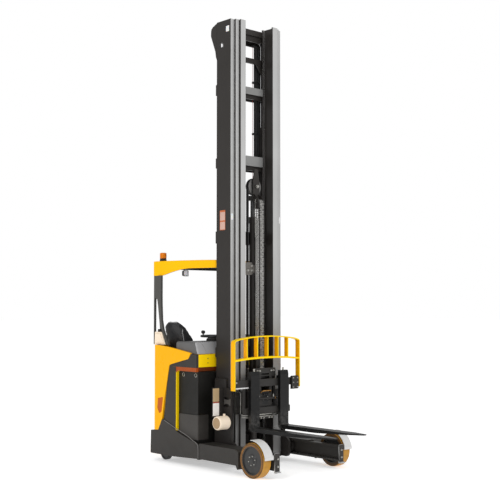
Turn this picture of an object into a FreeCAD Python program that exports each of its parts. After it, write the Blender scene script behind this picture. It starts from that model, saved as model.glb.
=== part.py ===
import FreeCAD, Part
import math
import os

# Sit-down reach truck with a three-stage mast, in millimetres.
# Everything is laid out from the load-wheel axle: +X points to the fork tips, +Y to the left
# side, +Z up, floor at 0. The last step moves the parts so that X = 0 is at mid-length.
# The mast stands fully back against the battery, the stages are closed and the forks hang a
# third of a metre above their lowest place.

# ---------------------------------------------------------------- driving dimensions

# chassis and legs
HALF_WIDTH = 627.0            # middle of the truck to the outside of skirts and load wheels
REAR_X = -1663.0              # back of the skirt
CHASSIS_FRONT_X = -821.0      # front end of the skirt
SKIRT_THICKNESS = 28.0
SKIRT_BOTTOM_Z = 78.0
LEG_WEB_OUTER_Y = 496.0
LEG_WEB = 14.0
LEG_TIP_Y = 427.0             # inner edge of the channel's flanges
LEG_BOTTOM_Z = 85.0
LEG_HEIGHT = 162.0
LEG_FLANGE = 16.0
LEG_BOX_TOP_Z = 260.0

# load wheels
LOAD_WHEEL_DIAMETER = 350.0
LOAD_WHEEL_WIDTH = 107.0
LOAD_HUB_RADIUS = 140.0
LOAD_AXLE_RADIUS = 30.0
FENDER_CLEARANCE = 23.0       # from the tread to the inside of the fender
FENDER_THICKNESS = 6.0

# drive wheel and rear support wheel
DRIVE_WHEEL_DIAMETER = 343.0
DRIVE_WHEEL_WIDTH = 140.0
DRIVE_X = -1455.0
DRIVE_Y = -60.0
CASTER_WHEEL_DIAMETER = 150.0
CASTER_WHEEL_WIDTH = 60.0
CASTER_X = -1530.0
CASTER_Y = -484.0
CASTER_TRAIL = 25.0

# battery
BATTERY_LENGTH_X = 353.0
BATTERY_WIDTH_Y = 1176.0
BATTERY_BOTTOM_Z = 240.0
BATTERY_TOP_Z = 1000.0
BATTERY_FRONT_X = -880.0
BATTERY_EYE_RADIUS = 15.0

# body
PANEL_THICKNESS = 26.0
BODY_CORNER_RADIUS = 70.0
BODY_TOP_Z = 1271.0
HOOD_FRONT_X = -872.0
HOOD_TOP_Z = 1318.0
FLOOR_Z = 400.0
SEAT_X = -1444.0              # middle of the seat, which faces the left side
SEAT_TOP_Z = 1040.0

# overhead guard
GUARD_TOP_Z = 2205.0
GUARD_REAR_X = -1690.0
GUARD_FRONT_X = -872.0
GUARD_REAR_HALF = 555.0
GUARD_FRONT_HALF = 345.0

# mast rails
MAST_TOP_Z = 4790.0
OUTER_BOTTOM_Z = 85.0
STAGE_LIFT_OFF = 10.0         # each inner stage starts this much higher than the one around it
MAST_REAR_X = -792.0          # back faces of the outer rails' rear flanges
OUTER_HALF_Y = 370.0
RAIL_DEPTH = 180.0            # front face of the front flange to back face of the rear flange
RAIL_WIDTH = 74.0
RAIL_FLANGE = 20.0
RAIL_WEB = 16.0               # outer stage
STAGE_WEB = 12.0              # middle and inner stage
STAGE_STEP_X = 27.5
STAGE_STEP_Y = 48.0
OUTER_FIN = 50.0              # the outer stage's web runs on this far behind its flanges
ROLLER_CLEARANCE = 1.0

# reach carriage
REACH_STROKE = 575.0
REACH_PLATE_Y = OUTER_HALF_Y
REACH_PLATE_THICKNESS = 24.0
REACH_CYLINDER_Y = 190.0
REACH_CYLINDER_RADIUS = 35.0

# lift cylinders
LIFT_CYLINDER_Y = 250.0
LIFT_CYLINDER_RADIUS = 31.0
LIFT_ROD_RADIUS = 20.0
FREE_LIFT_RADIUS = 42.0
FREE_LIFT_ROD_RADIUS = 28.0
HEAD_SHEAVE_Z = 2810.0
CHAIN_PITCH_RADIUS = 36.0
CHAIN_THICKNESS = 18.0
CHAIN_WIDTH = 50.0

# fork carriage, side shift and forks
CARRIAGE_PLATE_Y = 160.0
CARRIAGE_PLATE_THICKNESS = 28.0
CARRIAGE_ROLLER_Z = (640.0, 930.0)
TILT_PIVOT_Z = 905.0
FORK_LENGTH = 1150.0
FORK_WIDTH = 120.0
FORK_THICKNESS = 40.0
FORK_INNER_Y = 152.0
FORK_BLADE_TOP_Z = 433.0
FORK_UPRIGHT_TOP_Z = 1014.0
FORK_BAR_HALF = 460.0
FORK_BAR_THICKNESS = 34.0
FORK_BAR_TOP_Z = 928.0
FORK_BAR_HEIGHT = 79.0
LOWER_BAR_Z = (564.0, 633.0)
LOWER_BAR_HALF = 335.0
BACKREST_HALF = 515.0
BACKREST_BOTTOM_Z = 822.0
BACKREST_END_Z = 1345.0
BACKREST_MIDDLE_Z = 1411.0

SEAT_GAP = 0.3                # running or laying gap between pieces that are not welded

# ---------------------------------------------------------------- places that follow from them

LEG_FRONT_X = LOAD_WHEEL_DIAMETER / 2.0 + 13.0         # free end of the guide channel
LEG_BOX_FRONT_X = -LOAD_WHEEL_DIAMETER / 2.0 - 26.0    # front end of the box beam
FENDER_RADIUS = LOAD_WHEEL_DIAMETER / 2.0 + FENDER_CLEARANCE
OUTER_FRONT_X = MAST_REAR_X + RAIL_DEPTH
OUTER_FIN_X = MAST_REAR_X - OUTER_FIN
REACH_ROLLER_X = (MAST_REAR_X + 32.0, OUTER_FRONT_X + 52.0)
LIFT_CYLINDER_X = MAST_REAR_X - 14.0
FREE_LIFT_X = MAST_REAR_X + 129.0
CHAIN_FRONT_X = OUTER_FRONT_X + 88.0
CARRIAGE_FRONT_X = OUTER_FRONT_X + 100.0
CARRIAGE_REAR_X = MAST_REAR_X + 90.0
TILT_PIVOT_X = CARRIAGE_FRONT_X + 12.0
FORK_FACE_X = OUTER_FRONT_X + 220.0                    # front face of the fork's upright
FORK_BAR_BACK_X = FORK_FACE_X - FORK_THICKNESS - FORK_BAR_THICKNESS - SEAT_GAP
BODY_INSIDE_Y = HALF_WIDTH - 38.0                      # inner frame behind the side panels
REACH_CYLINDER_Z = LEG_BOTTOM_Z + LEG_HEIGHT / 2.0 + 12.0
REACH_CYLINDER_PASS = REACH_CYLINDER_RADIUS + 8.0      # holes in the frame for its tube and rod

# ---------------------------------------------------------------- shape helpers

ORIGIN_SHIFT = -(GUARD_REAR_X + FORK_FACE_X + FORK_LENGTH) / 2.0
DRIVE_AXLE_Z = DRIVE_WHEEL_DIAMETER / 2.0
LOAD_AXLE_Z = LOAD_WHEEL_DIAMETER / 2.0
RIGHT = -1
LEFT = 1


def box(x0, x1, y0, y1, z0, z1):
    """Block between two corners."""
    return Part.makeBox(x1 - x0, y1 - y0, z1 - z0, FreeCAD.Vector(x0, y0, z0))


def rod(radius, start, end):
    """Round bar from one point to another."""
    first = FreeCAD.Vector(*start)
    along = FreeCAD.Vector(*end) - first
    return Part.makeCylinder(radius, along.Length, first, along)


def rounded_wire(corners, place):
    """Closed outline through corners (u, v, radius), each rounded by its own radius."""
    count = len(corners)
    marks = []
    for i in range(count):
        u, v, radius = corners[i]
        here = FreeCAD.Vector(u, v, 0)
        before = FreeCAD.Vector(corners[i - 1][0], corners[i - 1][1], 0)
        after = FreeCAD.Vector(corners[(i + 1) % count][0], corners[(i + 1) % count][1], 0)
        if radius <= 0:
            marks.append((here, None, here))
            continue
        back = (before - here).normalize()
        ahead = (after - here).normalize()
        half = back.getAngle(ahead) / 2.0
        bisector = (back + ahead).normalize()
        run = radius / math.tan(half)
        middle = here + bisector * (radius / math.sin(half) - radius)
        marks.append((here + back * run, middle, here + ahead * run))
    edges = []
    for i in range(count):
        start, middle, end = marks[i]
        if middle is not None:
            edges.append(Part.Arc(place(start), place(middle), place(end)).toShape())
        following = marks[(i + 1) % count][0]
        if (following - end).Length > 0.001:
            edges.append(Part.LineSegment(place(end), place(following)).toShape())
    return Part.Wire(edges)


def side_plate(corners, y0, y1):
    """Plate drawn in side view as (x, z, corner radius) and extruded across the truck."""
    wire = rounded_wire(corners, lambda p: FreeCAD.Vector(p.x, y0, p.y))
    return Part.Face(wire).extrude(FreeCAD.Vector(0, y1 - y0, 0))


def plan_plate(corners, z0, z1):
    """Plate drawn from above as (x, y, corner radius) and extruded upwards."""
    wire = rounded_wire(corners, lambda p: FreeCAD.Vector(p.x, p.y, z0))
    return Part.Face(wire).extrude(FreeCAD.Vector(0, 0, z1 - z0))


def front_plate(corners, x0, x1):
    """Plate drawn in front view as (y, z, corner radius) and extruded along the truck."""
    wire = rounded_wire(corners, lambda p: FreeCAD.Vector(x0, p.x, p.y))
    return Part.Face(wire).extrude(FreeCAD.Vector(x1 - x0, 0, 0))


def turned_y(profile, x, z):
    """Solid turned about a crosswise axle; profile holds (y, radius) pairs round the section."""
    points = [FreeCAD.Vector(x + radius, y, z) for y, radius in profile]
    wire = Part.makePolygon(points + [points[0]])
    face = Part.Face(wire)
    return face.revolve(FreeCAD.Vector(x, 0, z), FreeCAD.Vector(0, 1, 0), 360)


def turned_z(profile, x, y):
    """Solid turned about an upright line; profile holds (z, radius) pairs round the section."""
    points = [FreeCAD.Vector(x + radius, y, z) for z, radius in profile]
    wire = Part.makePolygon(points + [points[0]])
    face = Part.Face(wire)
    return face.revolve(FreeCAD.Vector(x, y, 0), FreeCAD.Vector(0, 0, 1), 360)


def joined(shapes):
    """One solid out of pieces that are welded together."""
    whole = shapes[0].multiFuse(shapes[1:])
    return whole.removeSplitter()


def mirrored(shape):
    """The same piece on the other side of the truck."""
    return shape.mirror(FreeCAD.Vector(0, 0, 0), FreeCAD.Vector(0, 1, 0))


def both_sides(shape):
    """A piece and its mirror image."""
    return [shape, mirrored(shape)]


def on_side(side, shape):
    """A piece drawn on the left, placed on the asked side."""
    return shape if side == LEFT else mirrored(shape)


def save(node, shapes):
    """Write one sub-part, moved so that the frame's origin is at mid-length on the floor."""
    pieces = shapes if isinstance(shapes, list) else [shapes]
    solids = []
    for piece in pieces:
        solids.extend(piece.Solids)
    part = solids[0] if len(solids) == 1 else Part.makeCompound(solids)
    part = part.copy()
    part.translate(FreeCAD.Vector(ORIGIN_SHIFT, 0, 0))
    os.makedirs("parts", exist_ok=True)
    part.exportStep("parts/" + node + ".step")


# ---------------------------------------------------------------- load wheels, legs, fenders

LEG_TOP_Z = LEG_BOTTOM_Z + LEG_HEIGHT
WHEEL_INNER_Y = HALF_WIDTH - LOAD_WHEEL_WIDTH
FENDER_TAB_Y = WHEEL_INNER_Y - 8.0 + SEAT_GAP
LEG_WEB_INNER_Y = LEG_WEB_OUTER_Y - LEG_WEB
REACH_ROLLER_RADIUS = LEG_HEIGHT / 2.0 - LEG_FLANGE - ROLLER_CLEARANCE
REACH_ROLLER_Z = LEG_BOTTOM_Z + LEG_HEIGHT / 2.0


def leg(side):
    """Guide channel open to the middle, with the box beam beside it up to the load wheel."""
    channel_rear_x = CHASSIS_FRONT_X - 30.0
    bottom = LEG_BOTTOM_Z
    top = LEG_TOP_Z
    web = box(channel_rear_x, LEG_FRONT_X, LEG_WEB_INNER_Y, LEG_WEB_OUTER_Y, bottom, top)
    flanges = [
        box(channel_rear_x, LEG_FRONT_X, LEG_TIP_Y, LEG_WEB_INNER_Y, z, z + LEG_FLANGE)
        for z in (bottom, top - LEG_FLANGE)
    ]
    beam = side_plate(
        [
            (CHASSIS_FRONT_X, 101.0, 0),
            (LEG_BOX_FRONT_X - 40.0, 101.0, 0),
            (LEG_BOX_FRONT_X - 18.0, 63.0, 8),
            (LEG_BOX_FRONT_X, 63.0, 8),
            (LEG_BOX_FRONT_X, LEG_BOX_TOP_Z - 22.0, 12),
            (LEG_BOX_FRONT_X - 46.0, LEG_BOX_TOP_Z, 20),
            (CHASSIS_FRONT_X, LEG_BOX_TOP_Z, 0),
        ],
        LEG_WEB_OUTER_Y,
        HALF_WIDTH - 4.0,
    )
    top_strip = box(
        CHASSIS_FRONT_X, LEG_BOX_FRONT_X - 60.0, LEG_TIP_Y, LEG_WEB_OUTER_Y, top, LEG_BOX_TOP_Z
    )
    end_stop = side_plate(
        [
            (LEG_FRONT_X, LEG_BOTTOM_Z - 22.0, 0),
            (LEG_FRONT_X + 34.0, LEG_BOTTOM_Z - 22.0, 4),
            (LEG_FRONT_X + 34.0, LEG_BOTTOM_Z - 10.0, 0),
            (LEG_FRONT_X + 12.0, LEG_BOTTOM_Z - 10.0, 4),
            (LEG_FRONT_X + 12.0, LEG_TOP_Z + 8.0, 3),
            (LEG_FRONT_X, LEG_TOP_Z + 8.0, 0),
        ],
        LEG_TIP_Y + 4.0,
        LEG_WEB_OUTER_Y,
    )
    fender_lug = box(
        LEG_FRONT_X - 40.0, LEG_FRONT_X + 12.0, LEG_WEB_OUTER_Y, WHEEL_INNER_Y - 8.0,
        LEG_TOP_Z - 46.0, LEG_TOP_Z - 6.0,
    )
    boss = rod(52.0, (0, LEG_WEB_OUTER_Y, LOAD_AXLE_Z), (0, WHEEL_INNER_Y - 8.0, LOAD_AXLE_Z))
    axle = rod(
        LOAD_AXLE_RADIUS, (0, LEG_WEB_INNER_Y, LOAD_AXLE_Z), (0, HALF_WIDTH - 22.0, LOAD_AXLE_Z)
    )
    whole = joined([web, beam, top_strip, end_stop, fender_lug, boss, axle] + flanges)
    return on_side(side, whole)


def load_hub(side):
    """Steel wheel centre: dished cover outside, bearing bore, rim under the tread."""
    inner = WHEEL_INNER_Y
    outer = HALF_WIDTH
    bore = LOAD_AXLE_RADIUS + 0.05
    profile = [
        (inner + 4.0, bore),
        (inner + 4.0, 62.0),
        (inner + 22.0, 70.0),
        (inner + 22.0, LOAD_HUB_RADIUS - 14.0),
        (inner + 3.0, LOAD_HUB_RADIUS - 10.0),
        (inner + 3.0, LOAD_HUB_RADIUS),
        (outer - 3.0, LOAD_HUB_RADIUS),
        (outer - 3.0, LOAD_HUB_RADIUS - 8.0),
        (outer - 14.0, LOAD_HUB_RADIUS - 12.0),
        (outer - 14.0, 66.0),
        (outer - 8.0, 58.0),
        (outer - 8.0, 0.0),
        (outer - 20.0, 0.0),
        (outer - 20.0, bore),
    ]
    return on_side(side, turned_y(profile, 0.0, LOAD_AXLE_Z))


def load_tread(side):
    """Polyurethane tread with rounded shoulders and a groove on its outer face."""
    inner = WHEEL_INNER_Y
    outer = HALF_WIDTH
    radius = LOAD_WHEEL_DIAMETER / 2.0
    profile = [
        (inner + 2.0, LOAD_HUB_RADIUS),
        (inner, LOAD_HUB_RADIUS + 6.0),
        (inner, radius - 9.0),
        (inner + 3.0, radius - 3.0),
        (inner + 9.0, radius),
        (outer - 9.0, radius),
        (outer - 3.0, radius - 3.0),
        (outer, radius - 9.0),
        (outer, radius - 14.0),
        (outer - 4.0, radius - 16.0),
        (outer, radius - 18.0),
        (outer, LOAD_HUB_RADIUS + 6.0),
        (outer - 2.0, LOAD_HUB_RADIUS),
    ]
    return on_side(side, turned_y(profile, 0.0, LOAD_AXLE_Z))


def fender(side):
    """Bent steel strip over the load wheel, from its top down to the leg's free end."""
    top_angle = math.radians(94.0)
    low_angle = math.radians(13.0)
    inner = FENDER_RADIUS
    outer = FENDER_RADIUS + FENDER_THICKNESS
    middle_angle = (top_angle + low_angle) / 2.0

    def at(radius, angle):
        return FreeCAD.Vector(
            radius * math.cos(angle), WHEEL_INNER_Y, LOAD_AXLE_Z + radius * math.sin(angle)
        )

    edges = [
        Part.Arc(at(outer, top_angle), at(outer, middle_angle), at(outer, low_angle)).toShape(),
        Part.LineSegment(at(outer, low_angle), at(inner, low_angle)).toShape(),
        Part.Arc(at(inner, low_angle), at(inner, middle_angle), at(inner, top_angle)).toShape(),
        Part.LineSegment(at(inner, top_angle), at(outer, top_angle)).toShape(),
    ]
    strip = Part.Face(Part.Wire(edges)).extrude(FreeCAD.Vector(0, LOAD_WHEEL_WIDTH, 0))
    low_x = inner * math.cos(low_angle)
    low_z = LOAD_AXLE_Z + inner * math.sin(low_angle)
    skirt = box(low_x, LEG_FRONT_X + 12.0, FENDER_TAB_Y, HALF_WIDTH, low_z - 24.0, low_z + 4.0)
    tab = box(
        LEG_FRONT_X - 40.0, LEG_FRONT_X + 12.0, FENDER_TAB_Y, FENDER_TAB_Y + 6.0,
        LEG_TOP_Z - 44.0, LEG_TOP_Z - 8.0,
    )
    return on_side(side, joined([strip, skirt, tab]))


# ---------------------------------------------------------------- chassis

SKIRT_OUTLINE = [
    (REAR_X, SKIRT_BOTTOM_Z, 14),
    (REAR_X + 6.0, 330.0, 0),
    (-1523.0, 342.0, 18),
    (-1462.0, 456.0, 24),
    (-1425.0, 464.0, 14),
    (-1172.0, 345.0, 0),
    (-883.0, 262.0, 40),
    (CHASSIS_FRONT_X, 246.0, 16),
    (CHASSIS_FRONT_X, 100.0, 14),
    (-1300.0, SKIRT_BOTTOM_Z, 200),
]
BATTERY_REAR_X = BATTERY_FRONT_X - BATTERY_LENGTH_X
BULKHEAD_X = BATTERY_REAR_X - 14.0
SKIRT_INNER_Y = HALF_WIDTH - SKIRT_THICKNESS
TRAY_FLOOR = 12.0
DRIVE_PLATE_Z = 378.0
DRIVE_PLATE = 14.0
DRIVE_PLATE_TOP_Z = DRIVE_PLATE_Z + DRIVE_PLATE
SLEW_HOLE_RADIUS = 104.0


def chassis_frame():
    """Welded frame: profiled side skirts, rear wall, bulkhead, battery floor, drive plate."""
    skirts = both_sides(side_plate(SKIRT_OUTLINE, SKIRT_INNER_Y, HALF_WIDTH))
    rear_wall = box(REAR_X + 2.0, REAR_X + 14.0, -SKIRT_INNER_Y, SKIRT_INNER_Y, 90.0, 329.0)
    floor_z = BATTERY_BOTTOM_Z - TRAY_FLOOR
    battery_floor = box(
        BULKHEAD_X, CHASSIS_FRONT_X - 60.0, -SKIRT_INNER_Y, SKIRT_INNER_Y, floor_z, BATTERY_BOTTOM_Z
    )
    bulkhead = joined([
        box(BULKHEAD_X - 12.0, BULKHEAD_X, -SKIRT_INNER_Y, SKIRT_INNER_Y, 120.0, 345.0),
        box(BULKHEAD_X - 12.0, BULKHEAD_X, -BODY_INSIDE_Y, BODY_INSIDE_Y, 345.0, BATTERY_TOP_Z - 40.0),
    ])
    cylinder_pass = rod(
        REACH_CYLINDER_PASS,
        (BULKHEAD_X - 40.0, REACH_CYLINDER_Y, REACH_CYLINDER_Z),
        (BULKHEAD_X + 40.0, REACH_CYLINDER_Y, REACH_CYLINDER_Z),
    )
    step_x = BULKHEAD_X - 40.0
    drive_plate = plan_plate(
        [
            (REAR_X + 50.0, -SKIRT_INNER_Y, 50),
            (REAR_X + 50.0, SKIRT_INNER_Y, 50),
            (step_x, SKIRT_INNER_Y, 0),
            (step_x, BODY_INSIDE_Y, 0),
            (BULKHEAD_X - 12.0, BODY_INSIDE_Y, 0),
            (BULKHEAD_X - 12.0, -BODY_INSIDE_Y, 0),
            (step_x, -BODY_INSIDE_Y, 0),
            (step_x, -SKIRT_INNER_Y, 0),
        ],
        DRIVE_PLATE_Z,
        DRIVE_PLATE_TOP_Z,
    )
    slew_hole = rod(
        SLEW_HOLE_RADIUS,
        (DRIVE_X, DRIVE_Y, DRIVE_PLATE_Z - 5.0),
        (DRIVE_X, DRIVE_Y, DRIVE_PLATE_TOP_Z + 5.0),
    )
    rear_ribs = both_sides(
        box(REAR_X + 50.0, REAR_X + 62.0, 300.0, 540.0, 315.0, DRIVE_PLATE_Z)
    ) + both_sides(
        box(REAR_X + 2.0, REAR_X + 62.0, 300.0, 540.0, 315.0, 329.0)
    )
    caster_mount = joined([
        rod(58.0, (CASTER_X, CASTER_Y, 196.0), (CASTER_X, CASTER_Y, DRIVE_PLATE_Z)),
        box(CASTER_X - 40.0, CASTER_X + 40.0, -SKIRT_INNER_Y, CASTER_Y, 200.0, 290.0),
    ])
    front_tie = [
        box(CHASSIS_FRONT_X - 60.0, CHASSIS_FRONT_X - 48.0, -SKIRT_INNER_Y, SKIRT_INNER_Y,
            LEG_BOTTOM_Z + 4.0, BATTERY_BOTTOM_Z)
    ]
    rod_pass = rod(
        REACH_CYLINDER_PASS,
        (CHASSIS_FRONT_X - 90.0, REACH_CYLINDER_Y, REACH_CYLINDER_Z),
        (CHASSIS_FRONT_X, REACH_CYLINDER_Y, REACH_CYLINDER_Z),
    )
    leg_seats = both_sides(
        box(CHASSIS_FRONT_X - 60.0, CHASSIS_FRONT_X - 30.0, LEG_TIP_Y, SKIRT_INNER_Y,
            LEG_BOTTOM_Z, LEG_TOP_Z - 8.0)
    )
    whole = joined(
        skirts + [rear_wall, battery_floor, bulkhead, drive_plate, caster_mount]
        + rear_ribs + front_tie + leg_seats
    )
    return whole.cut(cylinder_pass).cut(slew_hole).cut(rod_pass)


# ---------------------------------------------------------------- battery and its covers

def battery():
    """Steel tray full of cells; its end walls stand proud and carry the lifting eyes."""
    half = BATTERY_WIDTH_Y / 2.0
    wall = 10.0
    cell_top = BATTERY_TOP_Z - 70.0
    tray = box(BATTERY_REAR_X, BATTERY_FRONT_X, -half, half, BATTERY_BOTTOM_Z, BATTERY_TOP_Z)
    well = box(
        BATTERY_REAR_X + wall, BATTERY_FRONT_X - wall, -half + wall, half - wall,
        cell_top, BATTERY_TOP_Z + 1.0,
    )
    tray = tray.cut(well)
    for share in (0.3, 0.89):
        x = BATTERY_REAR_X + BATTERY_LENGTH_X * share
        eye = rod(
            BATTERY_EYE_RADIUS, (x, -half - 1.0, BATTERY_TOP_Z - 35.0),
            (x, half + 1.0, BATTERY_TOP_Z - 35.0),
        )
        tray = tray.cut(eye)
    return tray


def skirt_edge_z(x):
    """Height of the skirt's long slanted edge at a place along the truck."""
    x0, z0 = SKIRT_OUTLINE[4][0], SKIRT_OUTLINE[4][1]
    x1, z1 = SKIRT_OUTLINE[5][0], SKIRT_OUTLINE[5][1]
    return z0 + (z1 - z0) * (x - x0) / (x1 - x0)


OPENING_POST_X = (-1251.0, -1205.0)
LOWER_COVER_TOP_Z = 547.0
COVER_THICKNESS = 10.0


def battery_side_cover(side):
    """Grey cover over the lower part of the battery's end, wrapped round the front corner."""
    outer = BATTERY_WIDTH_Y / 2.0 + COVER_THICKNESS
    inner = BATTERY_WIDTH_Y / 2.0 + SEAT_GAP
    front = BATTERY_FRONT_X + COVER_THICKNESS
    wrap = plan_plate(
        [
            (-1185.0, inner, 0),
            (BATTERY_FRONT_X + SEAT_GAP, inner, 0),
            (BATTERY_FRONT_X + SEAT_GAP, 452.0, 0),
            (front, 452.0, 0),
            (front, outer, COVER_THICKNESS - 1.0),
            (-1185.0, outer, 0),
        ],
        287.0,
        LOWER_COVER_TOP_Z,
    )
    return on_side(side, wrap)


def battery_frame(side):
    """Yellow edge strip of the battery opening: one post and the strip along the top."""
    outer = HALF_WIDTH - 6.0
    x0, x1 = OPENING_POST_X
    top = BATTERY_TOP_Z + 46.0
    strip = side_plate(
        [
            (x0, skirt_edge_z(x0) + 1.0, 0),
            (x1, skirt_edge_z(x1) + 1.0, 0),
            (x1, top - 42.0, 26),
            (HOOD_FRONT_X, top - 42.0, 0),
            (HOOD_FRONT_X, top, 0),
            (x0, top, 0),
        ],
        BODY_INSIDE_Y,
        outer,
    )
    return on_side(side, strip)


# ---------------------------------------------------------------- body panels

def body_wall(z0, z1, thickness, inset):
    """Wall with rounded rear corners that runs round the back of the truck."""
    def ring(offset):
        half = HALF_WIDTH - inset - offset
        rear = REAR_X + 23.0 + inset + offset
        radius = max(BODY_CORNER_RADIUS - inset - offset, 5.0)
        return [
            (rear, -half, radius),
            (rear, half, radius),
            (HOOD_FRONT_X + offset, half, 0),
            (HOOD_FRONT_X + offset, -half, 0),
        ]
    outer = plan_plate(ring(0.0), z0, z1)
    inner = plan_plate(ring(thickness), z0 - 1.0, z1 + 1.0)
    return outer.cut(inner)


PANEL_OUTLINE = [
    (REAR_X - 20.0, 331.0, 0),
    (REAR_X - 20.0, BODY_TOP_Z, 0),
    (-1507.0, BODY_TOP_Z - 3.0, 200),
    (-1323.0, 1252.0, 500),
    (-975.0, 1204.0, 12),
    (-969.0, 1190.0, 6),
    (-1002.0, 1136.0, 40),
    (-1126.0, 1110.0, 200),
    (-1330.0, 1062.0, 36),
    (-1412.0, 697.0, 300),
    (-1456.0, 468.0, 0),
    (-1523.0, 343.0, 18),
]
ENTRY_REAR_X = -1590.0
PANEL_SIDE_DEPTH = 110.0
SIDE_LAMP_OUTLINE = [
    (-1532.0, 689.0, 10),
    (-1439.0, 706.0, 8),
    (-1464.0, 545.0, 40),
    (-1505.0, 520.0, 20),
    (-1542.0, 579.0, 20),
]


def side_panel_right():
    """Yellow side panel on the seat side, with the long arm that runs forward under the hood."""
    wall = body_wall(320.0, 1290.0, PANEL_THICKNESS, 0.0)
    outline = side_plate(PANEL_OUTLINE, -HALF_WIDTH - 1.0, -HALF_WIDTH + PANEL_SIDE_DEPTH)
    panel = wall.common(outline)
    lamp = side_plate(SIDE_LAMP_OUTLINE, -HALF_WIDTH - 1.0, -HALF_WIDTH + 18.0)
    return panel.cut(lamp)


def side_lamp():
    """Long amber lamp let into the right panel; its lens follows the panel's surface."""
    return side_plate(SIDE_LAMP_OUTLINE, -HALF_WIDTH + 1.0, -HALF_WIDTH + 17.5)


def side_panel_left():
    """Yellow panel on the entry side: rear column and the low part beside the step."""
    wall = body_wall(320.0, 1290.0, PANEL_THICKNESS, 0.0)
    column = side_plate(
        [
            (REAR_X - 20.0, 331.0, 0),
            (REAR_X - 20.0, BODY_TOP_Z, 0),
            (ENTRY_REAR_X - 30.0, BODY_TOP_Z - 2.0, 30),
            (ENTRY_REAR_X, 470.0, 60),
            (-1492.0, FLOOR_Z + 1.0, 0),
            (-1523.0, 343.0, 18),
        ],
        HALF_WIDTH - PANEL_SIDE_DEPTH,
        HALF_WIDTH + 1.0,
    )
    return wall.common(column)


def rear_cover():
    """Yellow cover across the back, between the two rounded corners."""
    wall = body_wall(329.0 + SEAT_GAP, BODY_TOP_Z - 1.0, PANEL_THICKNESS, 0.0)
    half = HALF_WIDTH - PANEL_SIDE_DEPTH - SEAT_GAP
    between = box(REAR_X - 20.0, REAR_X + 120.0, -half, half, 300.0, 1300.0)
    cover = wall.common(between)
    louvres = [
        box(REAR_X + 10.0, REAR_X + 36.0, -230.0, 230.0, z, z + 14.0)
        for z in (420.0, 452.0, 484.0, 516.0, 548.0)
    ]
    for louvre in louvres:
        cover = cover.cut(louvre)
    return cover


SIDE_FRAME_OUTER_Y = HALF_WIDTH - 7.0
SIDE_FRAME_THICKNESS = 30.0


def side_frame(side):
    """Dark inner body frame that shows between the yellow panel, the hood and the battery."""
    outer = SIDE_FRAME_OUTER_Y
    inner = outer - SIDE_FRAME_THICKNESS
    post_x = OPENING_POST_X[0]
    low_z = BATTERY_TOP_Z + 46.0
    top_run = [
        (post_x, skirt_edge_z(post_x) + 1.0, 0),
        (post_x, low_z, 0),
        (HOOD_FRONT_X, low_z, 0),
        (HOOD_FRONT_X, 1188.0, 0),
        (-1000.0, 1190.0, 0),
    ]
    if side == RIGHT:
        rear_run = [
            (-1262.0, 1234.0, 0),
            (-1330.0, 1234.0, 0),
            (SKIRT_OUTLINE[4][0], SKIRT_OUTLINE[4][1] + 1.0, 0),
        ]
        plate = side_plate(top_run + rear_run, inner, outer)
        plate = plate.cut(side_plate(PANEL_OUTLINE, inner - 1.0, outer + 1.0))
        return mirrored(plate)
    rear_run = [
        (-1262.0, 1234.0, 0),
        (-1296.0, 1234.0, 30),
        (-1296.0, skirt_edge_z(-1296.0) + 1.0, 0),
    ]
    return side_plate(top_run + rear_run, inner, outer)


HOOD_OUTLINE = [
    (-1254.0, 1238.0, 0),
    (-1250.0, HOOD_TOP_Z, 26),
    (-916.0, HOOD_TOP_Z, 14),
    (HOOD_FRONT_X, 1192.0, 0),
    (-1000.0, 1194.0, 0),
]


def hood():
    """Moulded hood over the battery, hollow underneath, with a rounded rim."""
    half = HALF_WIDTH - PANEL_THICKNESS - 2.0
    outer = side_plate(HOOD_OUTLINE, -half, half)
    rim = [e for e in outer.Edges if is_hood_rim(e, half)]
    outer = outer.makeFillet(18.0, rim)
    wall = 14.0
    inner = side_plate(
        [
            (-1254.0 + wall, 1180.0, 0),
            (-1250.0 + wall, HOOD_TOP_Z - wall, 12),
            (-916.0 - wall / 2.0, HOOD_TOP_Z - wall, 6),
            (HOOD_FRONT_X - wall - 6.0, 1180.0, 0),
        ],
        -half + wall,
        half - wall,
    )
    shell = outer.cut(inner)
    return shell


def is_hood_rim(edge, half):
    """True for the straight top and front edges of the hood's two side faces."""
    bounds = edge.BoundBox
    on_side_face = abs(abs(bounds.YMin) - half) < 0.01 and abs(bounds.YMax - bounds.YMin) < 0.01
    high = bounds.ZMax > HOOD_TOP_Z - 68.0
    return on_side_face and high


def front_beam():
    """Yellow beam across the truck under the hood, in front of the battery's top."""
    half = SIDE_FRAME_OUTER_Y - SIDE_FRAME_THICKNESS - SEAT_GAP
    beam = plan_plate(
        [
            (HOOD_FRONT_X - 22.0, -half, 0),
            (HOOD_FRONT_X, -half, 10),
            (HOOD_FRONT_X, half, 10),
            (HOOD_FRONT_X - 22.0, half, 0),
        ],
        1052.0,
        1186.0,
    )
    return beam


# ---------------------------------------------------------------- overhead guard

GUARD_WALL = 42.0


def guard_ring(offset, z0, z1):
    """Plan shape of the guard, narrower towards the mast, moved inwards by an offset."""
    return plan_plate(
        [
            (GUARD_REAR_X + offset, -GUARD_REAR_HALF + offset, max(60.0 - offset, 6.0)),
            (GUARD_FRONT_X - offset, -GUARD_FRONT_HALF + offset, max(40.0 - offset, 6.0)),
            (GUARD_FRONT_X - offset, GUARD_FRONT_HALF - offset, max(40.0 - offset, 6.0)),
            (GUARD_REAR_X + offset, GUARD_REAR_HALF - offset, max(60.0 - offset, 6.0)),
        ],
        z0,
        z1,
    )


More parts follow.
